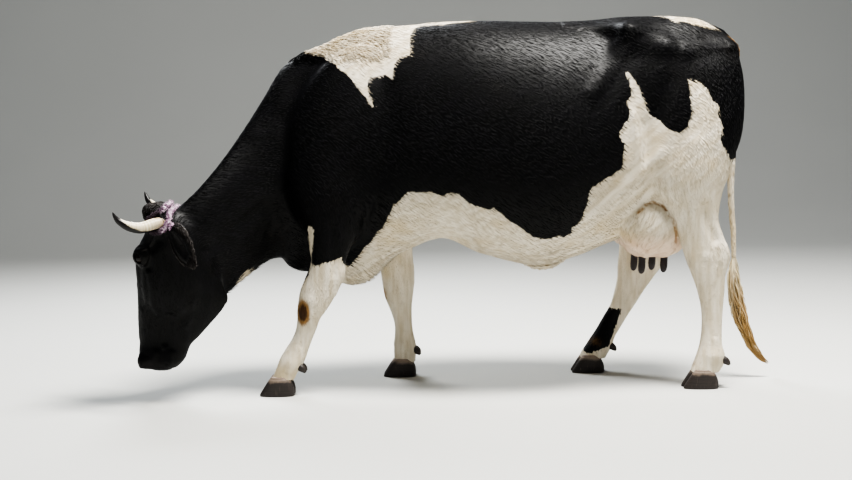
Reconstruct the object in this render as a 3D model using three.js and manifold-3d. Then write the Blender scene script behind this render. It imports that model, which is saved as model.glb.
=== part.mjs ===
// A life-size cow standing with its head down to graze, as a still museum model.
// Millimetres. X runs from the muzzle to the tail, Y to the animal's right, Z up; the soles stand on Z = 0.
import * as THREE from "three";
import { mergeVertices } from "three/addons/utils/BufferGeometryUtils.js";
import Module from "manifold-3d";

const wasm = await Module();
wasm.setup();

// ---------- driving dimensions ----------

const GAP = 0.3; // clearance between neighbouring pieces
const FOOTPRINT_CENTRE = new THREE.Vector3(129, -83, 0); // of the cow as drawn below; it becomes the origin

// Where a body of flesh is parted from its neighbour.
const NECK_CUT = { x: -545, lean: 0.1 }; // plane in front of the shoulders, leaning back by this slope
const FORE_TOP = 700; // elbow: above it a foreleg belongs to the trunk
const HIND_TOP = 815; // stifle: above it a hind leg belongs to the trunk
const KNEE_Z = { left: 345, right: 350 };
const HOCK_Z = { left: 470, right: 440 };

// The head's own frame: its origin is the poll, and it hangs nose down, a little away from the left side.
const POLL = new THREE.Vector3(-1043, -352, 757);
const HEAD_TILT = 4; // degrees, muzzle forward of the poll
const HEAD_ROLL = 10; // degrees, left side low
const HEAD_YAW = 7; // degrees, forehead turned to the right

const EYE = { across: 88, over: 19, along: 175, radius: 21 };
const COAT = { black: "#141316", white: "#e9e2d3" };

// ---------- forms ----------
// A form is a soft tube along a straight axis. Each row gives one section across it:
// [along, high, low, widest, middle, half width, power of the high side, power of the low side]
// A power of 2 is an ellipse; more is squarer, less is more pointed.

const SPINE = [
  // x, top, bottom, widest, y, half, top power, bottom power
  [-1000, 700, 560, 640, -340, 52, 2, 2],
  [-950, 752, 470, 630, -330, 66, 2, 2],
  [-880, 824, 388, 640, -296, 78, 2, 2],
  [-800, 925, 396, 690, -236, 90, 1.9, 1.9],
  [-715, 1052, 462, 780, -160, 108, 1.8, 1.8],
  [-640, 1180, 516, 860, -92, 136, 1.7, 1.8],
  [-575, 1292, 536, 910, -40, 170, 1.7, 1.9],
  [-500, 1350, 520, 920, -5, 205, 1.7, 2],
  [-415, 1384, 505, 910, 0, 230, 1.7, 2],
  [-333, 1420, 505, 890, 0, 250, 1.7, 2],
  [-235, 1450, 525, 880, 0, 270, 1.8, 2],
  [60, 1471, 592, 870, 0, 328, 2, 2],
  [220, 1474, 528, 850, 0, 356, 2.1, 2],
  [450, 1467, 474, 850, 0, 378, 2.1, 2],
  [600, 1464, 506, 870, 0, 366, 2.1, 2],
  [720, 1469, 552, 920, 0, 335, 2.1, 2],
  [840, 1477, 600, 980, 0, 300, 2.5, 2],
  [1080, 1472, 715, 1080, 0, 236, 2.4, 2],
  [1170, 1440, 775, 1100, 0, 196, 2, 2],
  [1230, 1385, 850, 1110, 0, 145, 2, 2],
  [1258, 1320, 960, 1120, 0, 80, 2, 2],
];

// The loin and the pelvis: widest at the points of the hips, and narrowing to the pin bones.
const PELVIS = [
  [560, 1456, 1390, 1422, 0, 120, 2.4, 2],
  [680, 1462, 1350, 1408, 0, 165, 2.5, 2],
  [735, 1470, 1300, 1400, 0, 202, 2.5, 2],
  [775, 1474, 1250, 1396, 0, 236, 2.5, 2],
  [805, 1476, 1220, 1394, 0, 246, 2.4, 2],
  [850, 1476, 1210, 1386, 0, 236, 2.2, 2],
  [920, 1474, 1216, 1368, 0, 210, 2, 2],
  [1000, 1472, 1220, 1350, 0, 190, 2, 2],
  [1100, 1460, 1230, 1340, 0, 166, 2, 2],
  [1190, 1424, 1240, 1335, 0, 152, 2.1, 2],
  [1242, 1385, 1262, 1325, 0, 132, 2.2, 2],
  [1268, 1350, 1288, 1318, 0, 88, 2, 2],
];

const BRISKET = [
  [-600, 620, 556, 590, -20, 26, 2, 2],
  [-575, 720, 502, 620, -14, 58, 2, 2],
  [-530, 740, 472, 640, -8, 84, 2, 2],
  [-470, 740, 462, 640, 0, 100, 2, 2],
  [-400, 740, 436, 640, 0, 104, 2, 2],
  [-345, 740, 413, 640, 0, 98, 2, 1.8],
  [-300, 740, 405, 640, 0, 92, 2, 1.8],
  [-245, 740, 418, 640, 0, 88, 2, 1.8],
  [-195, 740, 455, 640, 0, 92, 2, 2],
  [-120, 740, 522, 650, 0, 100, 2, 2],
  [-40, 740, 566, 660, 0, 100, 2, 2],
  [20, 740, 604, 680, 0, 80, 2, 2],
];

// Legs: z, rear x, front x, widest x, y, half width. The powers are those of a limb.
const limb = (rows, power = 2.2) =>
  rows.map(([z, rear, front, y, half]) => [z, rear, front, (rear + front) / 2, y, half, power, power]);

const LEFT_FORE = limb([
  [940, -275, -470, -150, 52],
  [860, -238, -500, -178, 76],
  [760, -238, -500, -195, 84],
  [680, -256, -482, -203, 76],
  [600, -284, -466, -208, 68],
  [527, -312, -458, -210, 60],
  [470, -318, -478, -211, 57],
  [418, -341, -500, -212, 55],
  [378, -364, -509, -212, 54],
  [335, -392, -515, -212, 52],
  [300, -418, -516, -212, 48],
  [260, -434, -523, -211, 42],
  [225, -449, -538, -210, 41],
  [182, -466, -566, -210, 45],
  [148, -478, -587, -210, 52],
  [112, -494, -603, -210, 53],
  [84, -512, -615, -210, 50],
  [58, -524, -628, -210, 52],
]);
const RIGHT_FORE = limb([
  [940, -20, -215, 145, 52],
  [860, 15, -245, 165, 76],
  [760, 2, -240, 176, 82],
  [650, -28, -222, 182, 72],
  [548, -54, -206, 184, 60],
  [444, -48, -197, 185, 56],
  [388, -50, -190, 185, 54],
  [340, -56, -182, 185, 52],
  [300, -61, -168, 185, 48],
  [260, -62, -153, 185, 42],
  [217, -61, -143, 185, 40],
  [178, -56, -143, 185, 43],
  [142, -48, -148, 185, 51],
  [108, -44, -150, 185, 53],
  [80, -46, -150, 185, 50],
  [56, -48, -156, 185, 52],
]);
const LEFT_HIND = limb([
  [1340, 1236, 930, -105, 84],
  [1240, 1262, 880, -128, 112],
  [1120, 1266, 850, -146, 124],
  [1000, 1252, 832, -160, 126],
  [900, 1218, 836, -172, 118],
  [835, 1196, 852, -182, 104],
  [780, 1174, 882, -188, 88],
  [722, 1160, 934, -193, 70],
  [664, 1154, 966, -197, 58],
  [598, 1174, 989, -200, 51],
  [553, 1192, 1004, -202, 49],
  [516, 1199, 1015, -203, 48],
  [484, 1192, 1026, -204, 47],
  [446, 1180, 1041, -205, 44],
  [390, 1176, 1060, -205, 39],
  [309, 1169, 1077, -205, 35],
  [230, 1165, 1078, -205, 36],
  [172, 1166, 1070, -205, 42],
  [132, 1176, 1058, -205, 52],
  [98, 1174, 1044, -205, 52],
  [58, 1152, 1030, -205, 52],
]);
const RIGHT_HIND = limb([
  [1340, 1236, 930, 105, 84],
  [1240, 1262, 870, 128, 112],
  [1120, 1262, 830, 146, 124],
  [1000, 1236, 790, 160, 126],
  [900, 1180, 778, 172, 118],
  [820, 1116, 778, 182, 98],
  [740, 1066, 788, 190, 76],
  [660, 1040, 800, 196, 60],
  [590, 1040, 812, 200, 52],
  [540, 1042, 816, 201, 50],
  [500, 1034, 814, 202, 49],
  [454, 1008, 809, 203, 47],
  [400, 968, 806, 203, 43],
  [340, 924, 793, 203, 38],
  [290, 892, 778, 203, 36],
  [239, 858, 748, 203, 35],
  [184, 824, 716, 203, 39],
  [148, 802, 692, 203, 45],
  [112, 790, 668, 203, 53],
  [84, 776, 650, 203, 52],
  [56, 758, 636, 203, 52],
]);

// Head: along the face from the poll, face line, jaw line, widest, middle, half width.
const SKULL = [
  [-8, -12, -48, -30, 0, 38, 2, 2],
  [12, 15, -92, -34, 0, 68, 2.2, 2.2],
  [45, 24, -128, -40, 0, 80, 2.2, 2.2],
  [92, 24, -160, -44, 0, 82, 2.2, 2.2],
  [140, 46, -190, -44, 0, 88, 2.4, 2.1],
  [190, 61, -220, -38, 0, 90, 2.6, 2],
  [240, 62, -248, -32, 0, 88, 2.6, 2],
  [300, 58, -282, -26, 0, 84, 2.5, 1.9],
  [345, 57, -298, -22, 0, 77, 2.4, 1.8],
  [395, 58, -272, -18, 0, 69, 2.4, 1.8],
  [450, 60, -228, -14, 0, 61, 2.3, 1.9],
  [505, 60, -182, -14, 0, 57, 2.2, 2],
  [540, 59, -150, -16, 0, 60, 2.2, 2.2],
  [574, 60, -134, -20, 0, 70, 2.4, 2.4],
  [604, 58, -122, -24, 0, 76, 2.5, 2.5],
  [628, 48, -102, -24, 0, 70, 2.4, 2.4],
  [644, 22, -78, -28, 0, 46, 2, 2],
];

const UDDER = limb([
  [800, 1040, 840, 0, 120],
  [720, 1070, 812, 0, 160],
  [640, 1074, 800, 0, 178],
  [570, 1060, 802, 0, 168],
  [530, 1034, 818, 0, 140],
  [508, 990, 850, 0, 92],
]);

// ---------- making solids ----------

// A closed geometry whose shared vertices are merged, as a solid.
function solidOf(geometry) {
  geometry.deleteAttribute("normal");
  geometry.deleteAttribute("uv");
  const merged = mergeVertices(geometry, 1e-3);
  const vertProperties = merged.attributes.position.array;
  const triVerts = new Uint32Array(merged.index.array);
  return new wasm.Manifold(new wasm.Mesh({ numProp: 3, vertProperties, triVerts }));
}

function geometryOf(solid) {
  const mesh = solid.getMesh();
  const geometry = new THREE.BufferGeometry();
  geometry.setAttribute("position", new THREE.BufferAttribute(mesh.vertProperties, 3));
  geometry.setIndex(new THREE.BufferAttribute(mesh.triVerts, 1));
  geometry.computeVertexNormals();
  return geometry;
}

const join = (...solids) => solids.reduce((whole, piece) => whole.add(piece));
const cut = (solid, ...tools) => tools.reduce((rest, tool) => rest.subtract(tool), solid);
const largest = (solid) => solid.decompose().reduce((a, b) => (a.volume() > b.volume() ? a : b));

// Slope of each column at a row, from its neighbours on both sides.
function slopeAt(rows, i, column) {
  const before = rows[Math.max(i - 1, 0)];
  const after = rows[Math.min(i + 1, rows.length - 1)];
  return (after[column] - before[column]) / (after[0] - before[0]);
}

// The section at a share between row i and the next, smooth through the rows.
function sectionBetween(rows, i, share) {
  const step = rows[i + 1][0] - rows[i][0];
  const s2 = share * share;
  const s3 = s2 * share;
  return rows[i].map((a, column) => {
    const b = rows[i + 1][column];
    if (column === 0) return a + step * share;
    const startSlope = slopeAt(rows, i, column) * step;
    const endSlope = slopeAt(rows, i + 1, column) * step;
    const ends = (2 * s3 - 3 * s2 + 1) * a + (3 * s2 - 2 * s3) * b;
    return ends + (s3 - 2 * s2 + share) * startSlope + (s3 - s2) * endSlope;
  });
}

function sectionsOf(rows, between) {
  const sections = [];
  for (let i = 0; i < rows.length - 1; i++)
    for (let k = 0; k < between; k++) sections.push(sectionBetween(rows, i, k / between));
  sections.push(rows[rows.length - 1]);
  return sections;
}

// Turns a sphere's grid into a tube: each ring of the grid becomes one section, and the poles close the ends.
function ringsToGeometry(rings, around) {
  const geometry = new THREE.SphereGeometry(1, around, rings.length + 1);
  const position = geometry.attributes.position;
  const centreOf = (ring) =>
    ring.reduce((sum, p) => sum.add(p), new THREE.Vector3()).divideScalar(ring.length);
  const ends = [centreOf(rings[0]), centreOf(rings[rings.length - 1])];
  for (let row = 0; row <= rings.length + 1; row++)
    for (let k = 0; k <= around; k++) {
      const isPole = row === 0 || row === rings.length + 1;
      const point = isPole ? ends[row === 0 ? 0 : 1] : rings[row - 1][k % around];
      position.setXYZ(row * (around + 1) + k, point.x, point.y, point.z);
    }
  return geometry;
}

function facingOut(geometry) {
  const solid = solidOf(geometry.clone());
  if (solid.volume() > 0) return solid;
  geometry.scale(-1, 1, 1); // one mirror turns the faces round, and the mirrored solid is mirrored back
  return solidOf(geometry).mirror([1, 0, 0]);
}

// frame: a matrix that carries (middle, high, along) to the world. grow: how far it swells on every side.
function formOf(rows, { frame, around = 20, between = 1, grow = 0 }) {
  const bend = (value, power) => Math.sign(value) * Math.abs(value) ** (2 / power);
  const sections = sectionsOf(rows, between);
  const forward = Math.sign(rows[rows.length - 1][0] - rows[0][0]);
  sections[0][0] -= forward * grow;
  sections[sections.length - 1][0] += forward * grow;
  const rings = sections.map(([along, high, low, wide, middle, half, highPower, lowPower]) =>
    Array.from({ length: around }, (_, k) => {
      const angle = (2 * Math.PI * k) / around;
      const s = Math.sin(angle);
      const power = s >= 0 ? highPower : lowPower;
      const reach = s >= 0 ? high - wide : wide - low;
      const over = wide + bend(s, power) * (reach + Math.sign(reach) * grow);
      const across = middle + bend(Math.cos(angle), power) * (half + grow);
      return new THREE.Vector3(across, over, along).applyMatrix4(frame);
    }),
  );
  return facingOut(ringsToGeometry(rings, around));
}

// A tapered round tube along a smooth curve through points, closed at both ends.
function tubeOf(points, radii, { around = 10, along = 12, grow = 0 } = {}) {
  const curve = new THREE.CatmullRomCurve3(points);
  const frames = curve.computeFrenetFrames(along);
  const radiusAt = (share) => {
    const place = share * (radii.length - 1);
    const i = Math.min(Math.floor(place), radii.length - 2);
    return THREE.MathUtils.lerp(radii[i], radii[i + 1], place - i) + grow;
  };
  const rings = Array.from({ length: along + 1 }, (_, j) => {
    const beyond = j === 0 ? -grow : j === along ? grow : 0;
    const centre = curve.getPointAt(j / along).addScaledVector(frames.tangents[j], beyond);
    return Array.from({ length: around }, (_, k) => {
      const angle = (2 * Math.PI * k) / around;
      return centre
        .clone()
        .addScaledVector(frames.normals[j], radiusAt(j / along) * Math.cos(angle))
        .addScaledVector(frames.binormals[j], radiusAt(j / along) * Math.sin(angle));
    });
  });
  return facingOut(ringsToGeometry(rings, around));
}

function ellipsoid(centre, [rx, ry, rz], { turn = [0, 0, 0], frame, fine = 12, grow = 0 } = {}) {
  const geometry = new THREE.SphereGeometry(1, fine, Math.round(fine * 0.7));
  geometry.scale(rx + grow, ry + grow, rz + grow);
  const [ax, ay, az] = turn.map((degrees) => THREE.MathUtils.degToRad(degrees));
  geometry.applyMatrix4(new THREE.Matrix4().makeRotationFromEuler(new THREE.Euler(ax, ay, az)));
  geometry.translate(...centre);
  if (frame) geometry.applyMatrix4(frame);
  return facingOut(geometry);
}

// Everything on the side of a plane that its normal points to, within reach of the cow.
function halfSpace(point, normal) {
  const reach = 6000;
  const block = new THREE.BoxGeometry(reach, reach, reach).translate(0, 0, reach / 2);
  const turn = new THREE.Quaternion().setFromUnitVectors(
    new THREE.Vector3(0, 0, 1),
    normal.clone().normalize(),
  );
  block.applyQuaternion(turn).translate(point.x, point.y, point.z);
  return solidOf(block);
}

// A solid parted by a plane with a thin cut: [the side the normal points to, the other side].
function part(solid, point, normal) {
  const half = normal.clone().normalize().multiplyScalar(GAP / 2);
  return [
    solid.intersect(halfSpace(point.clone().add(half), normal)),
    solid.intersect(halfSpace(point.clone().sub(half), normal.clone().negate())),
  ];
}

// ---------- frames ----------

const X = new THREE.Vector3(1, 0, 0);
const Y = new THREE.Vector3(0, 1, 0);
const Z = new THREE.Vector3(0, 0, 1);
const basis = (across, over, along, origin = new THREE.Vector3()) =>
  new THREE.Matrix4().makeBasis(across, over, along).setPosition(origin);

const ALONG_SPINE = basis(Y, Z, X); // sections stand across X
const ALONG_LEG = basis(Y, X, Z); // sections lie across Z

function headFrame() {
  const tilt = new THREE.Matrix4().makeRotationY(THREE.MathUtils.degToRad(HEAD_TILT));
  const roll = new THREE.Matrix4().makeRotationX(THREE.MathUtils.degToRad(HEAD_ROLL));
  const yaw = new THREE.Matrix4().makeRotationZ(THREE.MathUtils.degToRad(-HEAD_YAW));
  const turn = yaw.multiply(roll).multiply(tilt);
  // across points to the animal's left, over out of the forehead, along down to the muzzle
  const axes = [Y, X, Z].map((axis) => axis.clone().negate().applyMatrix4(turn));
  return basis(...axes, POLL);
}
const HEAD = headFrame();
const headPoint = (across, over, along) => new THREE.Vector3(across, over, along).applyMatrix4(HEAD);

// ---------- the animal's parts ----------

// The body without its legs.
function torso(grow = 0) {
  const shoulders = [-1, 1].flatMap((side) => [
    ellipsoid([-338, side * 176, 1072], [160, 68, 306], { turn: [side * 11, 20, 0], fine: 9, grow }), // blade
    ellipsoid([-392, side * 182, 795], [140, 80, 190], { turn: [0, -18, 0], fine: 8, grow }), // upper arm
  ]);
  return join(
    formOf(SPINE, { frame: ALONG_SPINE, around: 18, grow }),
    formOf(PELVIS, { frame: ALONG_SPINE, around: 12, grow }),
    formOf(BRISKET, { frame: ALONG_SPINE, around: 10, grow }),
    ...shoulders,
  );
}

function headBody(grow = 0) {
  const sides = [-1, 1].flatMap((side) => [
    ellipsoid([side * 68, 11, 172], [35, 43, 46], { frame: HEAD, fine: 7, grow }), // rim of the eye
    ellipsoid([side * 57, -92, 290], [32, 100, 104], { frame: HEAD, fine: 7, grow }), // cheek
    ellipsoid([side * 44, 24, 606], [33, 33, 32], { frame: HEAD, fine: 7, grow }), // nostril's wing
    ellipsoid([side * 72, -62, 40], [27, 30, 30], { frame: HEAD, fine: 6, grow }), // horn's root
  ]);
  return join(
    formOf(SKULL, { frame: HEAD, around: 14, grow }),
    ellipsoid([0, -20, 18], [62, 46, 27], { frame: HEAD, fine: 8, grow }), // poll
    ...sides,
  );
}

function carvedHead(solid) {
  const tools = [-1, 1].flatMap((side) => [
    ellipsoid([side * EYE.across, EYE.over, EYE.along], Array(3).fill(EYE.radius), {
      frame: HEAD,
      fine: 10,
      grow: GAP,
    }),
    ellipsoid([side * 42, 52, 616], [10, 18, 14], { turn: [0, 0, side * 25], frame: HEAD, fine: 6 }),
    ellipsoid([side * 74, -52, 598], [26, 3.5, 62], { turn: [6, 0, 0], frame: HEAD, fine: 6 }),
  ]);
  return cut(solid, ...tools);
}

// Ears: a leaf from root to tip, hollowed on its open side.
const EAR = [
  [0, 20, -18, 0, 0, 25, 2, 2],
  [28, 18, -20, 0, 0, 44, 2, 2],
  [72, 15, -18, 0, 0, 57, 2, 2],
  [115, 11, -15, 0, 0, 54, 2, 2],
  [152, 8, -11, 0, 0, 38, 2, 2],
  [178, 5, -7, 0, 0, 18, 2, 2],
  [190, 2, -4, 0, 0, 6, 2, 2],
];
const EAR_ROOT = { across: 88, over: -108, along: 54 };
// The left ear hangs back along the neck; the right one stands out from it.
const EAR_POINTS = { left: [0.55, -0.6, 0.6], right: [-0.8, -0.25, 0.55] };
const EAR_OPENS = [0.85, 0.5, 0.1];

function earFrame(side) {
  const rotate = ([across, over, along]) => new THREE.Vector3(across, over, along).transformDirection(HEAD);
  const along = rotate(side > 0 ? EAR_POINTS.left : EAR_POINTS.right);
  const opens = rotate([EAR_OPENS[0] * side, EAR_OPENS[1], EAR_OPENS[2]]);
  const over = opens.addScaledVector(along, -opens.dot(along)).normalize();
  const across = new THREE.Vector3().crossVectors(over, along);
  return basis(across, over, along, headPoint(EAR_ROOT.across * side, EAR_ROOT.over, EAR_ROOT.along));
}

function ear(side, grow = 0) {
  const frame = earFrame(side);
  const leaf = formOf(EAR, { frame, around: 10, grow });
  return grow > 0 ? leaf : cut(leaf, ellipsoid([0, 21, 98], [35, 22, 76], { frame, fine: 8 }));
}

// Horns: out from the side of the poll, forward, then up at the tip.
const HORN_PATH = [
  [56, -82, 38],
  [98, -45, 38],
  [138, -3, 47],
  [160, 34, 39],
  [172, 66, 20],
  [179, 80, 0],
  [183, 87, -18],
];
const HORN_RADII = [20, 21.5, 21.5, 19, 12.5, 7.5, 2];
const horn = (side, grow = 0) =>
  tubeOf(
    HORN_PATH.map(([across, over, along]) => headPoint(side * across, over, along)),
    HORN_RADII,
    { around: 8, along: 9, grow },
  );

// A rope tied round both horns' roots: over each root, round its front and under it, and back behind the poll,
// with its knot behind the left horn.
const ROPE_HALF = [
  [0, -66, -14],
  [36, -64, -13],
  [62, -52, -2],
  [78, -32, 12],
  [87, -12, 38],
  [99, -30, 66],
  [102, -58, 69],
  [99, -80, 54],
  [88, -93, 28],
  [52, -88, 6],
  [0, -86, 1],
];
const ROPE_RADIUS = 9;
const ROPE_KNOT = [97, -118, 46];

function hornRope() {
  const back = ROPE_HALF.slice(1, -1).reverse();
  const places = [...ROPE_HALF, ...back.map(([across, over, along]) => [-across, over, along])];
  const path = new THREE.CatmullRomCurve3(places.map((place) => headPoint(...place)), true);
  const loop = solidOf(new THREE.TubeGeometry(path, 22, ROPE_RADIUS, 5, true));
  return join(loop, ellipsoid(ROPE_KNOT, [16, 22, 20], { frame: HEAD, fine: 6 }));
}

// Hooves: two claws to a foot, flat on the floor, and two dew claws behind the fetlock.
const CLAW = [
  // z, rear x, front x, widest x, y, half width, counted from the foot's middle
  [0, 58, -76, 0, 0, 25, 2.4, 2],
  [8, 60, -76, 0, 0, 26.5, 2.4, 2],
  [34, 58, -60, 0, 0, 27, 2.4, 2],
  [58, 48, -44, 2, 0, 26.5, 2.4, 2.2],
  [76, 34, -30, 4, 0, 22, 2.2, 2.2],
];
const CLAW_SPREAD = 28; // from the foot's middle line to each claw's

function claw(foot, side) {
  const place = new THREE.Matrix4().makeTranslation(foot.x, foot.y + side * CLAW_SPREAD, 0);
  return formOf(CLAW, { frame: place.multiply(ALONG_LEG), around: 8 });
}
const dewClaw = (foot, side) =>
  tubeOf(
    [
      [0, side * 16, 118],
      [22, side * 21, 108],
      [38, side * 24, 92],
    ].map(([x, y, z]) => new THREE.Vector3(foot.heel + x, foot.y + y, z)),
    [14, 15, 7],
    { around: 5, along: 2 },
  );

const FEET = {
  left_fore: { x: -588, y: -210, heel: -520 },
  right_fore: { x: -112, y: 185, heel: -70 },
  left_hind: { x: 1082, y: -205, heel: 1150 },
  right_hind: { x: 688, y: 203, heel: 762 },
};

// Udder and teats.
const TEAT_TOPS = {
  teat_left_fore: [872, -66, 520],
  teat_right_fore: [862, 66, 520],
  teat_left_hind: [962, -62, 524],
  teat_right_hind: [936, 62, 522],
};
const TEAT = { length: 78, radii: [15, 14.5, 15.5, 13, 8] };
const teat = ([x, y, z]) =>
  tubeOf(
    [z + 14, z - TEAT.length / 2, z - TEAT.length].map((height) => new THREE.Vector3(x, y, height)),
    TEAT.radii,
    { around: 6, along: 4 },
  );

// Tail: the dock from the rump down to the switch, and the switch of long hair.
const TAIL_DOCK = [
  [1120, 1424],
  [1195, 1398],
  [1240, 1346],
  [1260, 1280],
  [1262, 1120],
  [1254, 960],
  [1246, 820],
  [1248, 700],
  [1256, 600],
  [1258, 500],
];
const DOCK_RADII = [30, 32, 28, 25, 22, 19, 17, 15, 14, 13];
const SWITCH = [
  [1258, 520],
  [1258, 440],
  [1262, 360],
  [1278, 280],
  [1300, 205],
  [1334, 130],
  [1372, 80],
  [1407, 54],
];
const SWITCH_RADII = [13, 23, 32, 34, 27, 19, 12, 4];
const inMiddlePlane = ([x, z]) => new THREE.Vector3(x, 0, z);

// ---------- the model ----------

const cow = new THREE.Group();

function add(name, solid, color, roughness = 0.75) {
  const material = new THREE.MeshStandardMaterial({ color, roughness, metalness: 0 });
  const mesh = new THREE.Mesh(geometryOf(largest(solid)), material);
  mesh.name = name;
  mesh.position.copy(FOOTPRINT_CENTRE).negate();
  cow.add(mesh);
}

const neckPlane = [new THREE.Vector3(NECK_CUT.x, 0, 900), new THREE.Vector3(-1, 0, NECK_CUT.lean)];

const LEGS = {
  left_fore: { rows: LEFT_FORE, top: FORE_TOP, joint: KNEE_Z.left, upper: "foreleg", lower: "fore_cannon" },
  right_fore: { rows: RIGHT_FORE, top: FORE_TOP, joint: KNEE_Z.right, upper: "foreleg", lower: "fore_cannon" },
  left_hind: { rows: LEFT_HIND, top: HIND_TOP, joint: HOCK_Z.left, upper: "gaskin", lower: "hind_cannon" },
  right_hind: { rows: RIGHT_HIND, top: HIND_TOP, joint: HOCK_Z.right, upper: "gaskin", lower: "hind_cannon" },
};
const level = (z) => new THREE.Vector3(0, 0, z);
const limbs = Object.entries(LEGS).map(([name, leg]) => {
  const [above, below] = part(formOf(leg.rows, { frame: ALONG_LEG, around: 12 }), level(leg.top), Z);
  return { name, leg, above, below, room: formOf(leg.rows, { frame: ALONG_LEG, around: 12, grow: GAP }) };
});

const bodyRoom = torso(GAP);
const headRoom = headBody(GAP);
const earRoom = [ear(1, GAP), ear(-1, GAP)];
const hornRoom = [horn(1, GAP), horn(-1, GAP)];
const [front, trunk] = part(join(torso(), ...limbs.map(({ above }) => above)), ...neckPlane);
const dock = (grow) =>
  tubeOf(TAIL_DOCK.map(inMiddlePlane), DOCK_RADII, { around: 8, along: 13, grow });

add("trunk", cut(trunk, dock(GAP)), COAT.black);
add("neck", cut(front, headRoom, ...earRoom, ...hornRoom), COAT.black);
add("head", carvedHead(headBody()), COAT.black);

for (const [name, side] of [
  ["left", 1],
  ["right", -1],
]) {
  const eye = [side * EYE.across, EYE.over, EYE.along];
  add(`${name}_eye`, ellipsoid(eye, Array(3).fill(EYE.radius), { frame: HEAD, fine: 10 }), "#1a0f0a", 0.1);
  add(`${name}_ear`, cut(ear(side), headRoom), COAT.black);
  add(`${name}_horn`, cut(horn(side), headRoom), "#d8cfb8", 0.45);
}
add("horn_rope", cut(hornRope(), headRoom, bodyRoom, ...hornRoom, ...earRoom), "#b687a8", 0.9);

for (const { name, leg, below, room } of limbs) {
  const side = name.split("_")[0];
  const [upper, lower] = part(largest(cut(below, bodyRoom)), level(leg.joint), Z);
  add(`${side}_${leg.upper}`, upper, COAT.white);
  add(`${side}_${leg.lower}`, lower, COAT.white);
  const outward = side === "left" ? -1 : 1;
  for (const [place, across] of Object.entries({ outer: outward, inner: -outward })) {
    add(`${name}_${place}_claw`, cut(claw(FEET[name], across), room), "#2a2522", 0.5);
    add(`${name}_${place}_dew_claw`, cut(dewClaw(FEET[name], across), room), "#2a2522", 0.5);
  }
}

const udder = (grow) => formOf(UDDER, { frame: ALONG_LEG, around: 12, grow });
add("udder", cut(udder(0), bodyRoom, ...limbs.map(({ room }) => room)), "#e3cfb9");
for (const [name, top] of Object.entries(TEAT_TOPS)) add(name, cut(teat(top), udder(GAP)), "#2b2024");

const hair = (grow) => tubeOf(SWITCH.map(inMiddlePlane), SWITCH_RADII, { around: 8, along: 10, grow });
add("tail_dock", cut(dock(0), hair(GAP)), COAT.white);
add("tail_switch", hair(0), "#c89a5e", 0.9);

export default cow;
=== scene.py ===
"""A life-size cow with its head down to graze: hide, coat, horns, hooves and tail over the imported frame.

Shapes are drawn in millimetres, X from the muzzle to the tail, Y to the animal's right, Z up, and moved to
the frame's metres at the end. The hide is one surface round soft forms, and the coat grows on it.
"""

import math

import bpy
import numpy as np
from mathutils import Matrix, Vector


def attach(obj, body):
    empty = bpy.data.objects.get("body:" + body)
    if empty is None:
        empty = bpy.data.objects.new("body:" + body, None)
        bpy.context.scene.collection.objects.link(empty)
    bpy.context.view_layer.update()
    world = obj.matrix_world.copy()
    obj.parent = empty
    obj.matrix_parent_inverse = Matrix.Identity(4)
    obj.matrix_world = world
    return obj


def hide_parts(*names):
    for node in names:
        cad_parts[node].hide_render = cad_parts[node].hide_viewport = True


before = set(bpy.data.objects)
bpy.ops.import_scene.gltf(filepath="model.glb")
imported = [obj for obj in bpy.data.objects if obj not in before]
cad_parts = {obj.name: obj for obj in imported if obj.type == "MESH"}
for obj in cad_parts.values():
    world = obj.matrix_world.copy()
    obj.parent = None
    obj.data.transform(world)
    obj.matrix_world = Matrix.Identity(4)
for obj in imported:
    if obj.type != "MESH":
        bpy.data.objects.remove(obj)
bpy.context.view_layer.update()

SEED = 7
FOOTPRINT_CENTRE = np.array([129.0, -83.0, 0.0])  # becomes the origin of the frame
SIDES = {"left": -1, "right": 1}

# ---------- the body's tables ----------
# A form is a soft tube along a straight axis. Each row gives one section across it:
# [along, high, low, widest, middle, half width, power of the high side, power of the low side]

SPINE = [
    [-1000, 700, 560, 640, -340, 52, 2, 2],
    [-950, 752, 470, 630, -330, 66, 2, 2],
    [-880, 824, 388, 640, -296, 78, 2, 2],
    [-800, 925, 396, 690, -236, 90, 1.9, 1.9],
    [-715, 1052, 462, 780, -160, 108, 1.8, 1.8],
    [-640, 1180, 516, 860, -92, 136, 1.7, 1.8],
    [-575, 1292, 536, 910, -40, 170, 1.7, 1.9],
    [-500, 1350, 520, 920, -5, 205, 1.7, 2],
    [-415, 1384, 505, 910, 0, 230, 1.7, 2],
    [-333, 1420, 505, 890, 0, 250, 1.7, 2],
    [-235, 1450, 525, 880, 0, 270, 1.8, 2],
    [60, 1471, 592, 870, 0, 328, 2, 2],
    [220, 1474, 528, 850, 0, 356, 2.1, 2],
    [450, 1467, 474, 850, 0, 378, 2.1, 2],
    [600, 1464, 506, 870, 0, 366, 2.1, 2],
    [720, 1469, 552, 920, 0, 335, 2.1, 2],
    [840, 1477, 600, 980, 0, 300, 2.5, 2],
    [1080, 1472, 715, 1080, 0, 236, 2.4, 2],
    [1170, 1440, 775, 1100, 0, 196, 2, 2],
    [1230, 1385, 850, 1110, 0, 145, 2, 2],
    [1258, 1320, 960, 1120, 0, 80, 2, 2],
]
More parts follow.
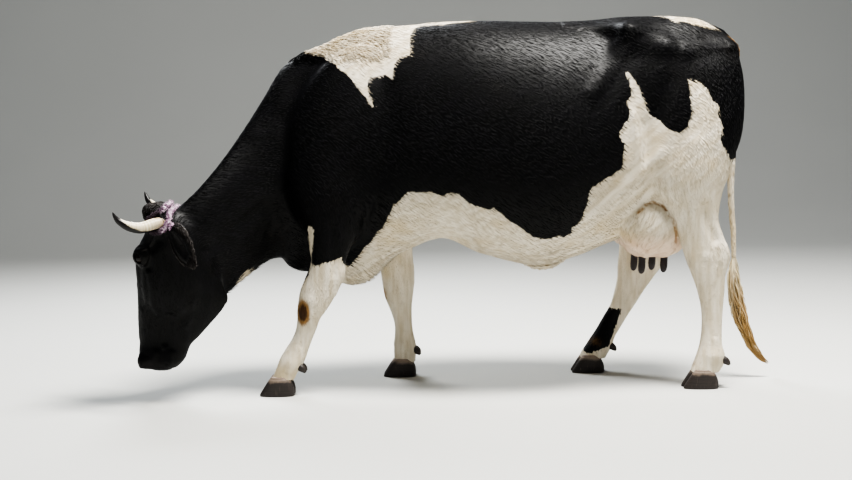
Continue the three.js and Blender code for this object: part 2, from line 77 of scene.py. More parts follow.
PELVIS = [
    [560, 1456, 1390, 1422, 0, 120, 2.4, 2],
    [680, 1462, 1350, 1408, 0, 165, 2.5, 2],
    [735, 1470, 1300, 1400, 0, 202, 2.5, 2],
    [775, 1474, 1250, 1396, 0, 236, 2.5, 2],
    [805, 1476, 1220, 1394, 0, 246, 2.4, 2],
    [850, 1476, 1210, 1386, 0, 236, 2.2, 2],
    [920, 1474, 1216, 1368, 0, 210, 2, 2],
    [1000, 1472, 1220, 1350, 0, 190, 2, 2],
    [1100, 1460, 1230, 1340, 0, 166, 2, 2],
    [1190, 1424, 1240, 1335, 0, 152, 2.1, 2],
    [1242, 1385, 1262, 1325, 0, 132, 2.2, 2],
    [1268, 1350, 1288, 1318, 0, 88, 2, 2],
]
BRISKET = [
    [-600, 620, 556, 590, -20, 26, 2, 2],
    [-575, 720, 502, 620, -14, 58, 2, 2],
    [-530, 740, 472, 640, -8, 84, 2, 2],
    [-470, 740, 462, 640, 0, 100, 2, 2],
    [-400, 740, 436, 640, 0, 104, 2, 2],
    [-345, 740, 413, 640, 0, 98, 2, 1.8],
    [-300, 740, 405, 640, 0, 92, 2, 1.8],
    [-245, 740, 418, 640, 0, 88, 2, 1.8],
    [-195, 740, 455, 640, 0, 92, 2, 2],
    [-120, 740, 522, 650, 0, 100, 2, 2],
    [-40, 740, 566, 660, 0, 100, 2, 2],
    [20, 740, 604, 680, 0, 80, 2, 2],
]


def limb(rows):
    """Rows of a leg, [z, rear x, front x, y, half width], as rows of a form."""
    return [[z, rear, front, (rear + front) / 2, y, half, 2.2, 2.2] for z, rear, front, y, half in rows]


LEGS = {
    "left_fore": limb([
        [940, -275, -470, -150, 52],
        [860, -238, -500, -178, 76],
        [760, -238, -500, -195, 84],
        [680, -256, -482, -203, 76],
        [600, -284, -466, -208, 68],
        [527, -312, -458, -210, 60],
        [470, -318, -478, -211, 57],
        [418, -341, -500, -212, 55],
        [378, -364, -509, -212, 54],
        [335, -392, -515, -212, 52],
        [300, -418, -516, -212, 48],
        [260, -434, -523, -211, 42],
        [225, -449, -538, -210, 41],
        [182, -466, -566, -210, 45],
        [148, -478, -587, -210, 52],
        [112, -494, -603, -210, 53],
        [84, -512, -615, -210, 50],
        [58, -524, -628, -210, 52],
    ]),
    "right_fore": limb([
        [940, -20, -215, 145, 52],
        [860, 15, -245, 165, 76],
        [760, 2, -240, 176, 82],
        [650, -28, -222, 182, 72],
        [548, -54, -206, 184, 60],
        [444, -48, -197, 185, 56],
        [388, -50, -190, 185, 54],
        [340, -56, -182, 185, 52],
        [300, -61, -168, 185, 48],
        [260, -62, -153, 185, 42],
        [217, -61, -143, 185, 40],
        [178, -56, -143, 185, 43],
        [142, -48, -148, 185, 51],
        [108, -44, -150, 185, 53],
        [80, -46, -150, 185, 50],
        [56, -48, -156, 185, 52],
    ]),
    "left_hind": limb([
        [1340, 1236, 930, -105, 84],
        [1240, 1262, 880, -128, 112],
        [1120, 1266, 850, -146, 124],
        [1000, 1252, 832, -160, 126],
        [900, 1218, 836, -172, 118],
        [835, 1196, 852, -182, 104],
        [780, 1174, 882, -188, 88],
        [722, 1160, 934, -193, 70],
        [664, 1154, 966, -197, 58],
        [598, 1174, 989, -200, 51],
        [553, 1192, 1004, -202, 49],
        [516, 1199, 1015, -203, 48],
        [484, 1192, 1026, -204, 47],
        [446, 1180, 1041, -205, 44],
        [390, 1176, 1060, -205, 39],
        [309, 1169, 1077, -205, 35],
        [230, 1165, 1078, -205, 36],
        [172, 1166, 1070, -205, 42],
        [132, 1176, 1058, -205, 52],
        [98, 1174, 1044, -205, 52],
        [58, 1152, 1030, -205, 52],
    ]),
    "right_hind": limb([
        [1340, 1236, 930, 105, 84],
        [1240, 1262, 870, 128, 112],
        [1120, 1262, 830, 146, 124],
        [1000, 1236, 790, 160, 126],
        [900, 1180, 778, 172, 118],
        [820, 1116, 778, 182, 98],
        [740, 1066, 788, 190, 76],
        [660, 1040, 800, 196, 60],
        [590, 1040, 812, 200, 52],
        [540, 1042, 816, 201, 50],
        [500, 1034, 814, 202, 49],
        [454, 1008, 809, 203, 47],
        [400, 968, 806, 203, 43],
        [340, 924, 793, 203, 38],
        [290, 892, 778, 203, 36],
        [239, 858, 748, 203, 35],
        [184, 824, 716, 203, 39],
        [148, 802, 692, 203, 45],
        [112, 790, 668, 203, 53],
        [84, 776, 650, 203, 52],
        [56, 758, 636, 203, 52],
    ]),
}
UDDER = limb([
    [800, 1040, 840, 0, 120],
    [720, 1070, 812, 0, 160],
    [640, 1074, 800, 0, 178],
    [570, 1060, 802, 0, 168],
    [530, 1034, 818, 0, 140],
    [508, 990, 850, 0, 92],
])

# The head's own frame: its origin is the poll, and it hangs nose down, a little away from the left side.
POLL = np.array([-1043.0, -352.0, 757.0])
HEAD_TILT, HEAD_ROLL, HEAD_YAW = 4, 10, 7  # degrees
# Along the face from the poll: face line, jaw line, widest, middle, half width
SKULL = [
    [-8, -12, -48, -30, 0, 38, 2, 2],
    [12, 15, -92, -34, 0, 68, 2.2, 2.2],
    [45, 24, -128, -40, 0, 80, 2.2, 2.2],
    [92, 24, -160, -44, 0, 82, 2.2, 2.2],
    [140, 46, -190, -44, 0, 88, 2.4, 2.1],
    [190, 61, -220, -38, 0, 90, 2.6, 2],
    [240, 62, -248, -32, 0, 88, 2.6, 2],
    [300, 58, -282, -26, 0, 84, 2.5, 1.9],
    [345, 57, -298, -22, 0, 77, 2.4, 1.8],
    [395, 58, -272, -18, 0, 69, 2.4, 1.8],
    [450, 60, -228, -14, 0, 61, 2.3, 1.9],
    [505, 60, -182, -14, 0, 57, 2.2, 2],
    [540, 59, -150, -16, 0, 60, 2.2, 2.2],
    [574, 60, -134, -20, 0, 70, 2.4, 2.4],
    [604, 58, -122, -24, 0, 76, 2.5, 2.5],
    [628, 48, -102, -24, 0, 70, 2.4, 2.4],
    [644, 22, -78, -28, 0, 46, 2, 2],
]
EYE = {"place": (88, 19, 175), "radius": 21}
EAR = [
    [0, 20, -18, 0, 0, 25, 2, 2],
    [28, 18, -20, 0, 0, 44, 2, 2],
    [72, 15, -18, 0, 0, 57, 2, 2],
    [115, 11, -15, 0, 0, 54, 2, 2],
    [152, 8, -11, 0, 0, 38, 2, 2],
    [178, 5, -7, 0, 0, 18, 2, 2],
    [190, 2, -4, 0, 0, 6, 2, 2],
]
EAR_ROOT = (88, -108, 54)
EAR_POINTS = {"left": (0.55, -0.6, 0.6), "right": (-0.8, -0.25, 0.55)}
EAR_OPENS = (0.85, 0.5, 0.1)
HORN_PATH = [
    (56, -82, 38),
    (98, -45, 38),
    (138, -3, 47),
    (160, 34, 39),
    (172, 66, 20),
    (179, 80, 0),
    (183, 87, -18),
]
HORN_RADII = [20, 21.5, 21.5, 19, 12.5, 7.5, 2]
ROPE_HALF = [
    (0, -66, -14),
    (36, -64, -13),
    (62, -52, -2),
    (78, -32, 12),
    (87, -12, 38),
    (99, -30, 66),
    (102, -58, 69),
    (99, -80, 54),
    (88, -93, 28),
    (52, -88, 6),
    (0, -86, 1),
]
ROPE_KNOT = (97, -118, 46)

# Hooves, from the foot's middle: [z, rear x, front x, widest x, y, half width, powers]
CLAW = [
    [0, 58, -76, 0, 0, 25, 2.4, 2],
    [8, 60, -76, 0, 0, 26.5, 2.4, 2],
    [34, 58, -60, 0, 0, 27, 2.4, 2],
    [58, 48, -44, 2, 0, 26.5, 2.4, 2.2],
    [76, 34, -30, 4, 0, 22, 2.2, 2.2],
]
CLAW_SPREAD = 28  # from the foot's middle to each claw's
WORN_EDGE = [(0.0, 0.93), (1.6, 0.975)]  # height of the sole's first rings, and their share of the full size
FEET = {
    "left_fore": (-588, -210, -520),
    "right_fore": (-112, 185, -70),
    "left_hind": (1082, -205, 1150),
    "right_hind": (688, 203, 762),
}  # x of the foot's middle, its y, and x of its heel
TEATS = {
    "teat_left_fore": (872, -66, 520),
    "teat_right_fore": (862, 66, 520),
    "teat_left_hind": (962, -62, 524),
    "teat_right_hind": (936, 62, 522),
}
TAIL_DOCK = [
    (1120, 1424),
    (1195, 1398),
    (1240, 1346),
    (1260, 1280),
    (1262, 1120),
    (1254, 960),
    (1246, 820),
    (1248, 700),
    (1256, 600),
    (1258, 500),
]
DOCK_RADII = [30, 32, 28, 25, 22, 19, 17, 15, 14, 13]
SWITCH = [
    (1258, 520),
    (1258, 440),
    (1262, 360),
    (1278, 280),
    (1300, 205),
    (1334, 130),
    (1372, 80),
    (1407, 54),
]
SWITCH_RADII = [13, 23, 32, 34, 27, 19, 12, 4]

# ---------- frames ----------


def rotation(axis, degrees):
    return np.array(Matrix.Rotation(math.radians(degrees), 3, axis))


# The rows of a frame are its across, over and along directions.
WORLD = np.eye(3)
ALONG_SPINE = np.array([[0, 1, 0], [0, 0, 1], [1, 0, 0]], float)
ALONG_LEG = np.array([[0, 1, 0], [1, 0, 0], [0, 0, 1]], float)
HEAD_TURN = rotation("Z", -HEAD_YAW) @ rotation("X", HEAD_ROLL) @ rotation("Y", HEAD_TILT)
HEAD = np.stack([HEAD_TURN @ axis for axis in ((0, -1, 0), (-1, 0, 0), (0, 0, -1))])


def in_head(places):
    """Places in the head's frame, carried to the cow's."""
    return POLL + np.atleast_2d(np.array(places, float)) @ HEAD


def ear_frame(side):
    """The ear's directions, and the place of its root. The left side of the head is on its positive side."""
    sign = -SIDES[side]
    along = np.array(EAR_POINTS[side]) @ HEAD
    along /= np.linalg.norm(along)
    opens = np.array([EAR_OPENS[0] * sign, EAR_OPENS[1], EAR_OPENS[2]]) @ HEAD
    opens /= np.linalg.norm(opens)
    over = opens - along * (opens @ along)
    over /= np.linalg.norm(over)
    root = in_head((EAR_ROOT[0] * sign, *EAR_ROOT[1:]))[0]
    return np.stack([np.cross(over, along), over, along]), root


# ---------- soft forms ----------


def smooth_rows(rows, between=8):
    """The rows made dense and smooth, with the first column rising."""
    rows = np.array(rows, float)
    if rows[0, 0] > rows[-1, 0]:
        rows = rows[::-1]
    before = rows[np.maximum(np.arange(len(rows)) - 1, 0)]
    after = rows[np.minimum(np.arange(len(rows)) + 1, len(rows) - 1)]
    slope = (after - before) / (after[:, :1] - before[:, :1])
    dense = []
    for a, b, slope_a, slope_b in zip(rows[:-1], rows[1:], slope[:-1], slope[1:]):
        step = b[0] - a[0]
        for s in np.arange(between) / between:
            ends = (2 * s**3 - 3 * s**2 + 1) * a + (3 * s**2 - 2 * s**3) * b
            row = ends + step * ((s**3 - 2 * s**2 + s) * slope_a + (s**3 - s**2) * slope_b)
            row[0] = a[0] + step * s
            dense.append(row)
    return np.array(dense + [rows[-1]])


def smooth_path(points, steps):
    """A smooth curve through points, as steps + 1 evenly shared points; one point stays one."""
    points = np.atleast_2d(np.array(points, float))
    if len(points) == 1:
        return points
    if len(points) == 2:
        share = np.linspace(0, 1, steps + 1)[:, None]
        return points[0] * (1 - share) + points[-1] * share
    padded = np.vstack([2 * points[0] - points[1], points, 2 * points[-1] - points[-2]])
    place = np.linspace(0, len(points) - 1, steps + 1)
    i = np.minimum(place.astype(int), len(points) - 2)
    s = (place - i)[:, None]
    p0, p1, p2, p3 = (padded[i + k] for k in range(4))
    return 0.5 * (
        2 * p1 + (p2 - p0) * s + (2 * p0 - 5 * p1 + 4 * p2 - p3) * s**2 + (3 * p1 - p0 - 3 * p2 + p3) * s**3
    )


def part_along(axis, origin, x, y, z):
    """How far places lie along an axis; a zero direction is left out, so that it costs nothing."""
    return sum((p - o) * a for p, o, a in zip((x, y, z), origin, axis) if abs(a) > 1e-9)


def sleeve(rows, axes, origin=(0, 0, 0)):
    """Distance to a form, and the corners of its box."""
    table = smooth_rows(rows)
    slopes = np.gradient(table, table[:, 0], axis=0)
    first, last = table[0, 0], table[-1, 0]

    def distance(x, y, z):
        across, over, along = (part_along(axis, origin, x, y, z) for axis in axes)
        held = np.clip(along, first, last)
        column = [np.interp(held, table[:, 0], table[:, k]) for k in range(1, 8)]
        change = [np.interp(held, table[:, 0], slopes[:, k]) for k in range(1, 8)]
        high, low, wide, middle, half, high_power, low_power = column
        up = over > wide
        reach = np.where(up, high - wide, wide - low)
        reach_change = np.where(up, change[0] - change[2], change[2] - change[1])
        power = np.where(up, high_power, low_power)
        a = np.abs(across - middle) / half + TINY
        b = np.abs(over - wide) / reach + TINY
        a_power = a**power
        b_power = b**power
        total = a_power + b_power
        k = total ** (1 / power)
        a_share, b_share = a_power / a, b_power / b
        a_change = -(np.sign(across - middle) * change[3] + np.minimum(a, FAR_SHARE) * change[4]) / half
        b_change = -(np.where(up, 1, -1) * change[2] + np.minimum(b, FAR_SHARE) * reach_change) / reach
        steepness = np.sqrt(
            (a_share / half) ** 2 + (b_share / reach) ** 2 + (a_share * a_change + b_share * b_change) ** 2
        )
        body = (k - 1) * total / (k * steepness)
        return np.maximum(body, np.maximum(first - along, along - last))

    corners = [
        (m + s * h, o, t)
        for t, high, low, _, m, h, _, _ in table
        for s in (-1, 1)
        for o in (high, low)
    ]
    places = np.array(corners) @ np.array(axes) + np.array(origin)
    return distance, places.min(0), places.max(0)


def ball(centre, radii, turn=(0, 0, 0), axes=WORLD, origin=(0, 0, 0)):
    """Distance to an ellipsoid in a frame, and the corners of its box."""
    local = rotation("X", turn[0]) @ rotation("Y", turn[1]) @ rotation("Z", turn[2])
    directions = local.T @ np.array(axes)
    place = np.array(origin) + np.array(centre, float) @ np.array(axes)

    def distance(x, y, z):
        local = [part_along(axis, place, x, y, z) for axis in directions]
        k0 = np.sqrt(sum((p / r) ** 2 for p, r in zip(local, radii))) + 1e-6
        k1 = np.sqrt(sum((p / (r * r)) ** 2 for p, r in zip(local, radii))) + 1e-9
        return k0 * (k0 - 1) / k1

    reach = np.sqrt(((directions * np.array(radii, float)[:, None]) ** 2).sum(0))
    return distance, place - reach, place + reach


def cable(points, radii):
    """Distance to a tapered round tube through points, and the corners of its box."""
    points = np.array(points, float)
    radii = np.broadcast_to(np.array(radii, float), len(points))

    def distance(x, y, z):
        nearest = None
        for a, b, ra, rb in zip(points[:-1], points[1:], radii[:-1], radii[1:]):
            step = b - a
            share = np.clip(part_along(step, a, x, y, z) / (step @ step), 0, 1)
            gap = sum((p - (o + share * s)) ** 2 for p, o, s in zip((x, y, z), a, step))
            d = np.sqrt(gap) - (ra + share * (rb - ra))
            nearest = d if nearest is None else np.minimum(nearest, d)
        return nearest

    reach = radii.max()
    return distance, points.min(0) - reach, points.max(0) + reach


MARGIN = 60.0  # forms are felt this far outside their boxes
SWELL_REACH = 2.2  # widths past which a ridge or a furrow has died away
FAR_SHARE = 1.2  # how far outside a form, in its half widths, its taper is still counted
TINY = 1e-4  # keeps a share above zero


class Grid:
    """Places at the crossings of three axes."""

    def __init__(self, axes):
        self.axes = axes
        self.shape = tuple(len(axis) for axis in axes)

    def near(self, low, high, margin):
        spans = [
            slice(*np.searchsorted(axis, (a - margin, b + margin)))
            for axis, a, b in zip(self.axes, low, high)
        ]
        lines = [axis[span] for axis, span in zip(self.axes, spans)]
        return tuple(spans), np.meshgrid(*lines, indexing="ij", sparse=True)


class Places:
    """A list of places."""

    def __init__(self, places):
        self.places = places
        self.shape = (len(places),)

    def near(self, low, high, margin):
        inside = np.all((self.places > low - margin) & (self.places < high + margin), axis=1)
        found = np.nonzero(inside)[0]
        return found, self.places[found].T


def soft_union(a, b, blend):
    bridge = np.maximum(blend - np.abs(a - b), 0) / blend
    return np.minimum(a, b) - bridge * bridge * blend / 4


def measure(groups, where):
    """Signed distance to the groups' surface, in millimetres, negative inside. Also each group's own."""
    total = np.full(where.shape, MARGIN, np.float32)
    for group in groups:
        own = np.full(where.shape, MARGIN, np.float32)
        for kind, (distance, low, high), amount, blend in group["forms"]:
            key, (x, y, z) = where.near(low, high, MARGIN if kind != "swell" else 0)
            if own[key].size == 0:
                continue
            if kind == "swell":
                own[key] -= amount * np.exp(-((distance(x, y, z) / blend) ** 2))
            elif kind == "cut":
                own[key] = -soft_union(-own[key], distance(x, y, z), blend)
            else:
                own[key] = soft_union(own[key], distance(x, y, z) + amount, blend)
        total = soft_union(total, own, group["blend"])
    return total


def slope_of(groups, places, step=0.8):
    """Which way the distance grows at places."""
    count = len(places)
    shifts = np.concatenate([np.eye(3), -np.eye(3)]) * step
    moved = (places[None] + shifts[:, None]).reshape(-1, 3)
    values = measure(groups, Places(moved)).reshape(6, count)
    return (values[:3] - values[3:]).T / (2 * step)


def settle(groups, places, rounds=2, most=8.0):
    """Moves places on to the surface."""
    for _ in range(rounds):
        slope = slope_of(groups, places)
        value = measure(groups, Places(places)).astype(float)
        steep = np.maximum((slope**2).sum(1), 0.05)
        places = places - slope * np.clip(value / steep, -most, most)[:, None]
    return places


# ---------- the forms of flesh ----------

COAT = {"trunk": 6.0, "leg": 4.0, "head": 3.0, "ear": 1.2, "udder": 2.0, "tail": 3.0}  # depth of hair


def grow(form, depth, blend):
    return ("add", form, depth, blend)


def carve(form, blend):
    return ("cut", form, 0, blend)


trunk_forms = [
    grow(sleeve(SPINE, ALONG_SPINE), COAT["trunk"], 10),
    grow(sleeve(PELVIS, ALONG_SPINE), COAT["trunk"] + 6, 26),
    grow(sleeve(BRISKET, ALONG_SPINE), COAT["trunk"], 44),
]
for side in (-1, 1):
    blade = ball((-338, side * 176, 1072), (160, 68, 306), (side * 11, 20, 0))
    upper_arm = ball((-392, side * 182, 795), (140, 80, 190), (0, -18, 0))
    trunk_forms += [grow(blade, COAT["trunk"], 52), grow(upper_arm, COAT["trunk"], 48)]
leg_forms = {
    name: [grow(sleeve(rows, ALONG_LEG), COAT["leg"], 10)] for name, rows in LEGS.items()
}
TAIL_STEPS = 27
tail_path = smooth_path([(x, 0, z) for x, z in TAIL_DOCK], TAIL_STEPS)
dock_places = range(len(DOCK_RADII))
tail_radii = np.interp(np.linspace(0, dock_places[-1], TAIL_STEPS + 1), dock_places, DOCK_RADII)
udder_forms = [
    grow(sleeve(UDDER, ALONG_LEG), COAT["udder"], 10),
    grow(ball((884, -142, 642), (122, 104, 116)), COAT["udder"], 30),
    grow(ball((860, 118, 640), (110, 84, 104)), COAT["udder"], 30),
]
tail_forms = [grow(cable(tail_path, tail_radii), COAT["tail"], 10)]

head_forms = [grow(sleeve(SKULL, HEAD, POLL), COAT["head"], 10)]
in_skull = {"axes": HEAD, "origin": POLL}
head_forms.append(grow(ball((0, -20, 18), (62, 46, 27), **in_skull), COAT["head"], 16))
for side in (-1, 1):
    for centre, radii, blend in (
        ((68, 11, 172), (35, 43, 46), 18),  # rim of the eye
        ((57, -92, 290), (32, 100, 104), 34),  # cheek
        ((44, 24, 606), (33, 33, 32), 14),  # nostril's wing
        ((72, -62, 40), (27, 30, 30), 16),  # horn's root
    ):
        place = (side * centre[0], *centre[1:])
        head_forms.append(grow(ball(place, radii, **in_skull), COAT["head"], blend))
ear_forms = {}
for side in SIDES:
    axes, root = ear_frame(side)
    ear_forms[side] = [
        grow(sleeve(EAR, axes, root), COAT["ear"], 8),
        carve(ball((0, 21, 98), (35, 22, 76), axes=axes, origin=root), 5),
    ]

GROUPS = [
    {"name": "trunk", "blend": 10, "forms": trunk_forms},
    *({"name": name, "blend": 40, "forms": forms} for name, forms in leg_forms.items()),
    {"name": "udder", "blend": 14, "forms": udder_forms},
    {"name": "tail", "blend": 14, "forms": tail_forms},
    {"name": "head", "blend": 40, "forms": head_forms},
    *({"name": side + "_ear", "blend": 16, "forms": forms} for side, forms in ear_forms.items()),
]
GROUP = {group["name"]: group["forms"] for group in GROUPS}

# ---------- muscles, hollows, folds and veins ----------


def on_hide(group, points):
    """A path laid on the surface of one group's forms."""
    points = smooth_path(points, 3 * len(points))
    return settle([{"forms": group, "blend": 1}], points, rounds=4, most=40)


def relief(name, points, width, height):
    """Adds a ridge or a furrow to a group's forms, laid on their surface."""
    laid = on_hide(GROUP[name][: BARE_COUNT[name]], np.atleast_2d(np.array(points, float)))
    distance, low, high = cable(laid, 0.0) if len(laid) > 1 else ball(laid[0], (1, 1, 1))
    reach = SWELL_REACH * width
    GROUP[name].append(("swell", (distance, low - reach, high + reach), height, width))


BARE_COUNT = {name: len(forms) for name, forms in GROUP.items()}


def leg_place(name, z, back, out):
    """A place on a leg: back runs from -1 in front to 1 behind, out from -1 inside to 1 outside."""
    table = smooth_rows(LEGS[name])
    rear, front, y, half = (np.interp(z, table[:, 0], table[:, k]) for k in (1, 2, 4, 5))
    outward = -1 if name.startswith("left") else 1
    return ((rear + front) / 2 + back * abs(rear - front) / 2, y + out * outward * half, z)


def leg_relief(name, rows, width, height):
    relief(name, [leg_place(name, *row) for row in rows], width, height)


for name in LEGS:
    for out in (-1, 1):
        if name.endswith("hind"):
            low = 0 if name.startswith("left") else -14  # the right hock stands lower
            # the hollow between the shin and the tendon of the hock
            leg_relief(name, [(720 + low, 0.42, out), (650 + low, 0.44, out), (590 + low, 0.5, out)], 17, -16)
            leg_relief(name, [(520 + low, -0.1, out)], 21, 5)  # knob of the hock
            leg_relief(name, [(560 + low, 0.86, out * 0.6), (530 + low, 0.9, out * 0.6)], 14, 4)
            leg_relief(name, [(486 + low, 0.5, out), (380, 0.3, out), (210, 0.22, out)], 9, -6.5)
            leg_relief(name, [(960, 0.1, out), (860, 0.2, out), (760, 0.1, out)], 34, 6)  # calf
        else:
            leg_relief(name, [(660, 0.1, out), (580, 0.3, out), (480, 0.5, out)], 14, -6)
            leg_relief(name, [(380, -0.3, out)], 20, 4)  # knee
            leg_relief(name, [(330, -0.5, out)], 15, 3)
            leg_relief(name, [(305, 0.22, out), (200, 0.22, out)], 9, -6.5)
            leg_relief(name, [(400, 0.9, out * 0.4)], 12, 4)
        leg_relief(name, [(128, 0.1, out)], 19, 4)  # fetlock
        leg_relief(name, [(92, 0.3, out)], 14, -4)
    leg_relief(name, [(120, -1, 0), (84, -1, 0), (64, -1, 0)], 9, -5)  # between the toes
    leg_relief(name, [(110, 1, 0), (80, 1, 0), (64, 1, 0)], 10, -6)

# Each relief is a path, its width and its height; these are given for the right side and made on both.
BODY_RELIEFS = [
    # shoulder
    ([(-235, 200, 1330), (-330, 250, 1120), (-430, 240, 900)], 30, 5),
    ([(-160, 250, 1250), (-150, 290, 1050), (-190, 280, 850)], 46, -7),
    ([(-500, 190, 850), (-480, 200, 800)], 46, 9),
    ([(-212, 250, 760), (-238, 230, 660)], 16, -11),
    ([(-560, 150, 1080), (-520, 190, 960), (-540, 170, 860)], 46, -5),
    # hollow in front of the hip, the ridges that run down from its bone, and the fold of the flank
    ([(640, 300, 1390), (690, 290, 1370)], 60, -4),
    ([(770, 240, 1348), (850, 236, 1350), (940, 226, 1345)], 40, 15),
    ([(775, 250, 1400), (745, 280, 1320), (700, 310, 1240), (650, 320, 1170)], 34, 8),
    ([(815, 248, 1425), (880, 250, 1405), (950, 250, 1365), (1010, 245, 1335)], 34, 7),
    ([(1010, 240, 1325)], 60, 6),
    ([(1040, 230, 1325), (1130, 200, 1345), (1200, 160, 1365)], 30, 6),
    ([(905, 260, 930), (850, 300, 850), (765, 320, 760), (660, 330, 680)], 26, 11),
    ([(915, 260, 860), (880, 240, 790), (846, 230, 742)], 17, -11),
    ([(796, 300, 1080), (812, 300, 990), (823, 300, 903), (827, 290, 812)], 18, 8),
    ([(852, 290, 1040), (868, 285, 930), (874, 270, 840)], 24, -9),
    ([(960, 250, 1190), (900, 260, 1060), (880, 260, 960)], 40, -6),
    # milk vein and the creases beside it
    ([(846, 130, 590), (770, 150, 560), (680, 175, 530), (590, 165, 515),
      (500, 185, 500), (400, 170, 510), (300, 190, 540), (190, 175, 570)], 10, 6),
    # thigh and rump
    ([(1050, 240, 1140), (1010, 250, 1020)], 60, 9),
    ([(1130, 210, 1230), (1158, 200, 1080), (1130, 200, 930)], 22, -9),
    ([(985, 200, 1440), (1110, 180, 1410)], 40, -6),
    ([(1218, 120, 1355)], 28, 9),
    ([(800, 250, 1425)], 44, 6),
]
# Along the neck, which is turned to the left: the furrow of its vein, a fold, and the folds of the throat.
# Each place is (along, middle, out to the side, up).
NECK_RELIEFS = [
    ([(-850, -296, 80, 560), (-740, -180, 105, 660), (-620, -80, 150, 740)], 26, -7),
    ([(-900, -300, 80, 720), (-790, -220, 100, 880), (-690, -130, 130, 1010)], 34, -5),
    *(([(x, -140, 90, 560), (x + 24, -110, 110, 650)], 17, -2.4) for x in (-705, -660, -610)),
]
for side in (-1, 1):
    for points, width, height in BODY_RELIEFS:
        relief("trunk", [(x, side * y, z) for x, y, z in points], width, height)
    for points, width, height in NECK_RELIEFS:
        relief("trunk", [(x, middle + side * out, z) for x, middle, out, z in points], width, height)
for points, width, height in (
    ([(20, 0, 1480), (400, 0, 1480), (700, 0, 1480), (1000, 0, 1480)], 24, 4),  # spine
    ([(430, 0, 470), (520, 0, 480)], 16, 7),  # navel
    ([(1180, 0, 1430), (1225, 0, 1390)], 40, -5),
):
    relief("trunk", points, width, height)

# The head, in its own frame; each line is made on both sides.
for points, width, height in (
    ([(62, -22, 240), (60, -32, 310), (54, -38, 400)], 13, 6),  # crest of the cheek bone
    ([(66, 26, 222), (58, 22, 290), (50, 24, 380)], 15, -5),  # tear furrow
    ([(84, -46, 108), (86, -30, 130)], 20, -9),  # temple
    # brow and upper lid
    ([(78, -44, 66), (94, -30, 100), (104, -10, 128), (104, 12, 140), (92, 38, 148)], 6, 7),
    ([(86, -40, 82), (102, -22, 118), (108, 0, 143), (102, 22, 150)], 3.6, -4),
    # the lower lid's fold
    ([(104, -12, 132), (110, -20, 150), (108, -14, 178), (102, 4, 204), (90, 26, 216)], 5.5, 6.5),
    ([(108, -30, 146), (104, -24, 184), (96, -8, 216)], 9, -4),
    ([(70, -84, 410), (60, -72, 470), (54, -60, 520)], 13, -6),  # groove of the cheek
    ([(58, -180, 330), (54, -176, 390), (50, -140, 450)], 16, 5),  # edge of the jaw
    ([(0, 66, 190), (0, 64, 240)], 24, -3.5),
    ([(34, 60, 300), (30, 62, 420), (28, 62, 520)], 10, 2.5),
    ([(20, -92, 646), (60, -78, 632), (82, -64, 600), (74, -58, 548)], 4.5, -7),  # line of the mouth
    ([(56, -86, 560), (60, -80, 600)], 12, 4),
    ([(16, 46, 638), (50, 44, 634), (64, 28, 612)], 8, 4),  # rim of the nostril
    ([(70, -10, 590), (66, -24, 560)], 14, 4),
    ([(0, 30, 650), (0, 0, 652), (0, -40, 650)], 4, -3),
):
    for side in (-1, 1):
        relief("head", in_head([(side * a, o, t) for a, o, t in points]), width, height)

for side in (-1, 1):
    centre = np.array((side * EYE["place"][0], *EYE["place"][1:]), float)
    lids = ball(centre, (24, 26.5, 28), (0, 0, 0), **in_skull)
    opening = ball(centre + (side * 17.5, 3, 1), (13, 10.5, 21.5), (24, 0, 0), **in_skull)
    nostril = ball((side * 42, 50, 618), (9, 19, 13), (0, 0, side * 25), **in_skull)
    GROUP["head"] += [grow(lids, 0, 14), carve(opening, 2.2), carve(nostril, 4)]

relief("udder", [(955, 0, 520), (955, 0, 560), (1040, 0, 600)], 12, -8)
relief("udder", [(910, -120, 530), (918, -180, 600), (912, -150, 690)], 30, -5)
for x, y, z in TEATS.values():
    relief("udder", [(x, y, z)], 20, 6)

# ---------- the hide as one mesh ----------


def spaced(*stretches):
    """Axis values from stretches of (end, step), the first of them only a start."""
    values = [stretches[0]]
    for end, step in stretches[1:]:
        count = max(int(round((end - values[-1]) / step)), 1)
        values += list(np.linspace(values[-1], end, count + 1)[1:])
    return np.array(values, np.float32)


def surface_net(value, axes):
    """Vertices and four-cornered faces of the surface where value is 0, one vertex to a cell."""
    shape = np.array(value.shape)
    inside = value < 0
    cells, centres, faces, turned = [], [], [], []
    for d in range(3):
        u, v = (d + 1) % 3, (d + 2) % 3
        lower = [slice(None)] * 3
        upper = [slice(None)] * 3
        lower[d], upper[d] = slice(None, -1), slice(1, None)
        found = np.argwhere(inside[tuple(lower)] != inside[tuple(upper)])
        step = np.eye(3, dtype=int)
        a = value[tuple(found.T)]
        b = value[tuple((found + step[d]).T)]
        share = a / (a - b)
        place = np.stack([axes[k][found[:, k]] for k in range(3)], 1).astype(float)
        place[:, d] += share * (axes[d][found[:, d] + 1] - axes[d][found[:, d]])
        around = [found - step[u] - step[v], found - step[v], found, found - step[u]]
        ids = np.stack([np.ravel_multi_index(tuple(cell.T), tuple(shape)) for cell in around], 1)
        cells.append(ids.ravel())
        centres.append(np.repeat(place, 4, axis=0))
        faces.append(ids)
        turned.append(a > 0)
    cells, centres = np.concatenate(cells), np.concatenate(centres)
    faces, turned = np.concatenate(faces), np.concatenate(turned)
    names, index = np.unique(cells, return_inverse=True)
    counts = np.bincount(index)
    vertices = np.stack([np.bincount(index, centres[:, k]) for k in range(3)], 1) / counts[:, None]
    faces = index.reshape(-1, 4)
    faces[turned] = faces[turned][:, ::-1]
    return vertices, faces


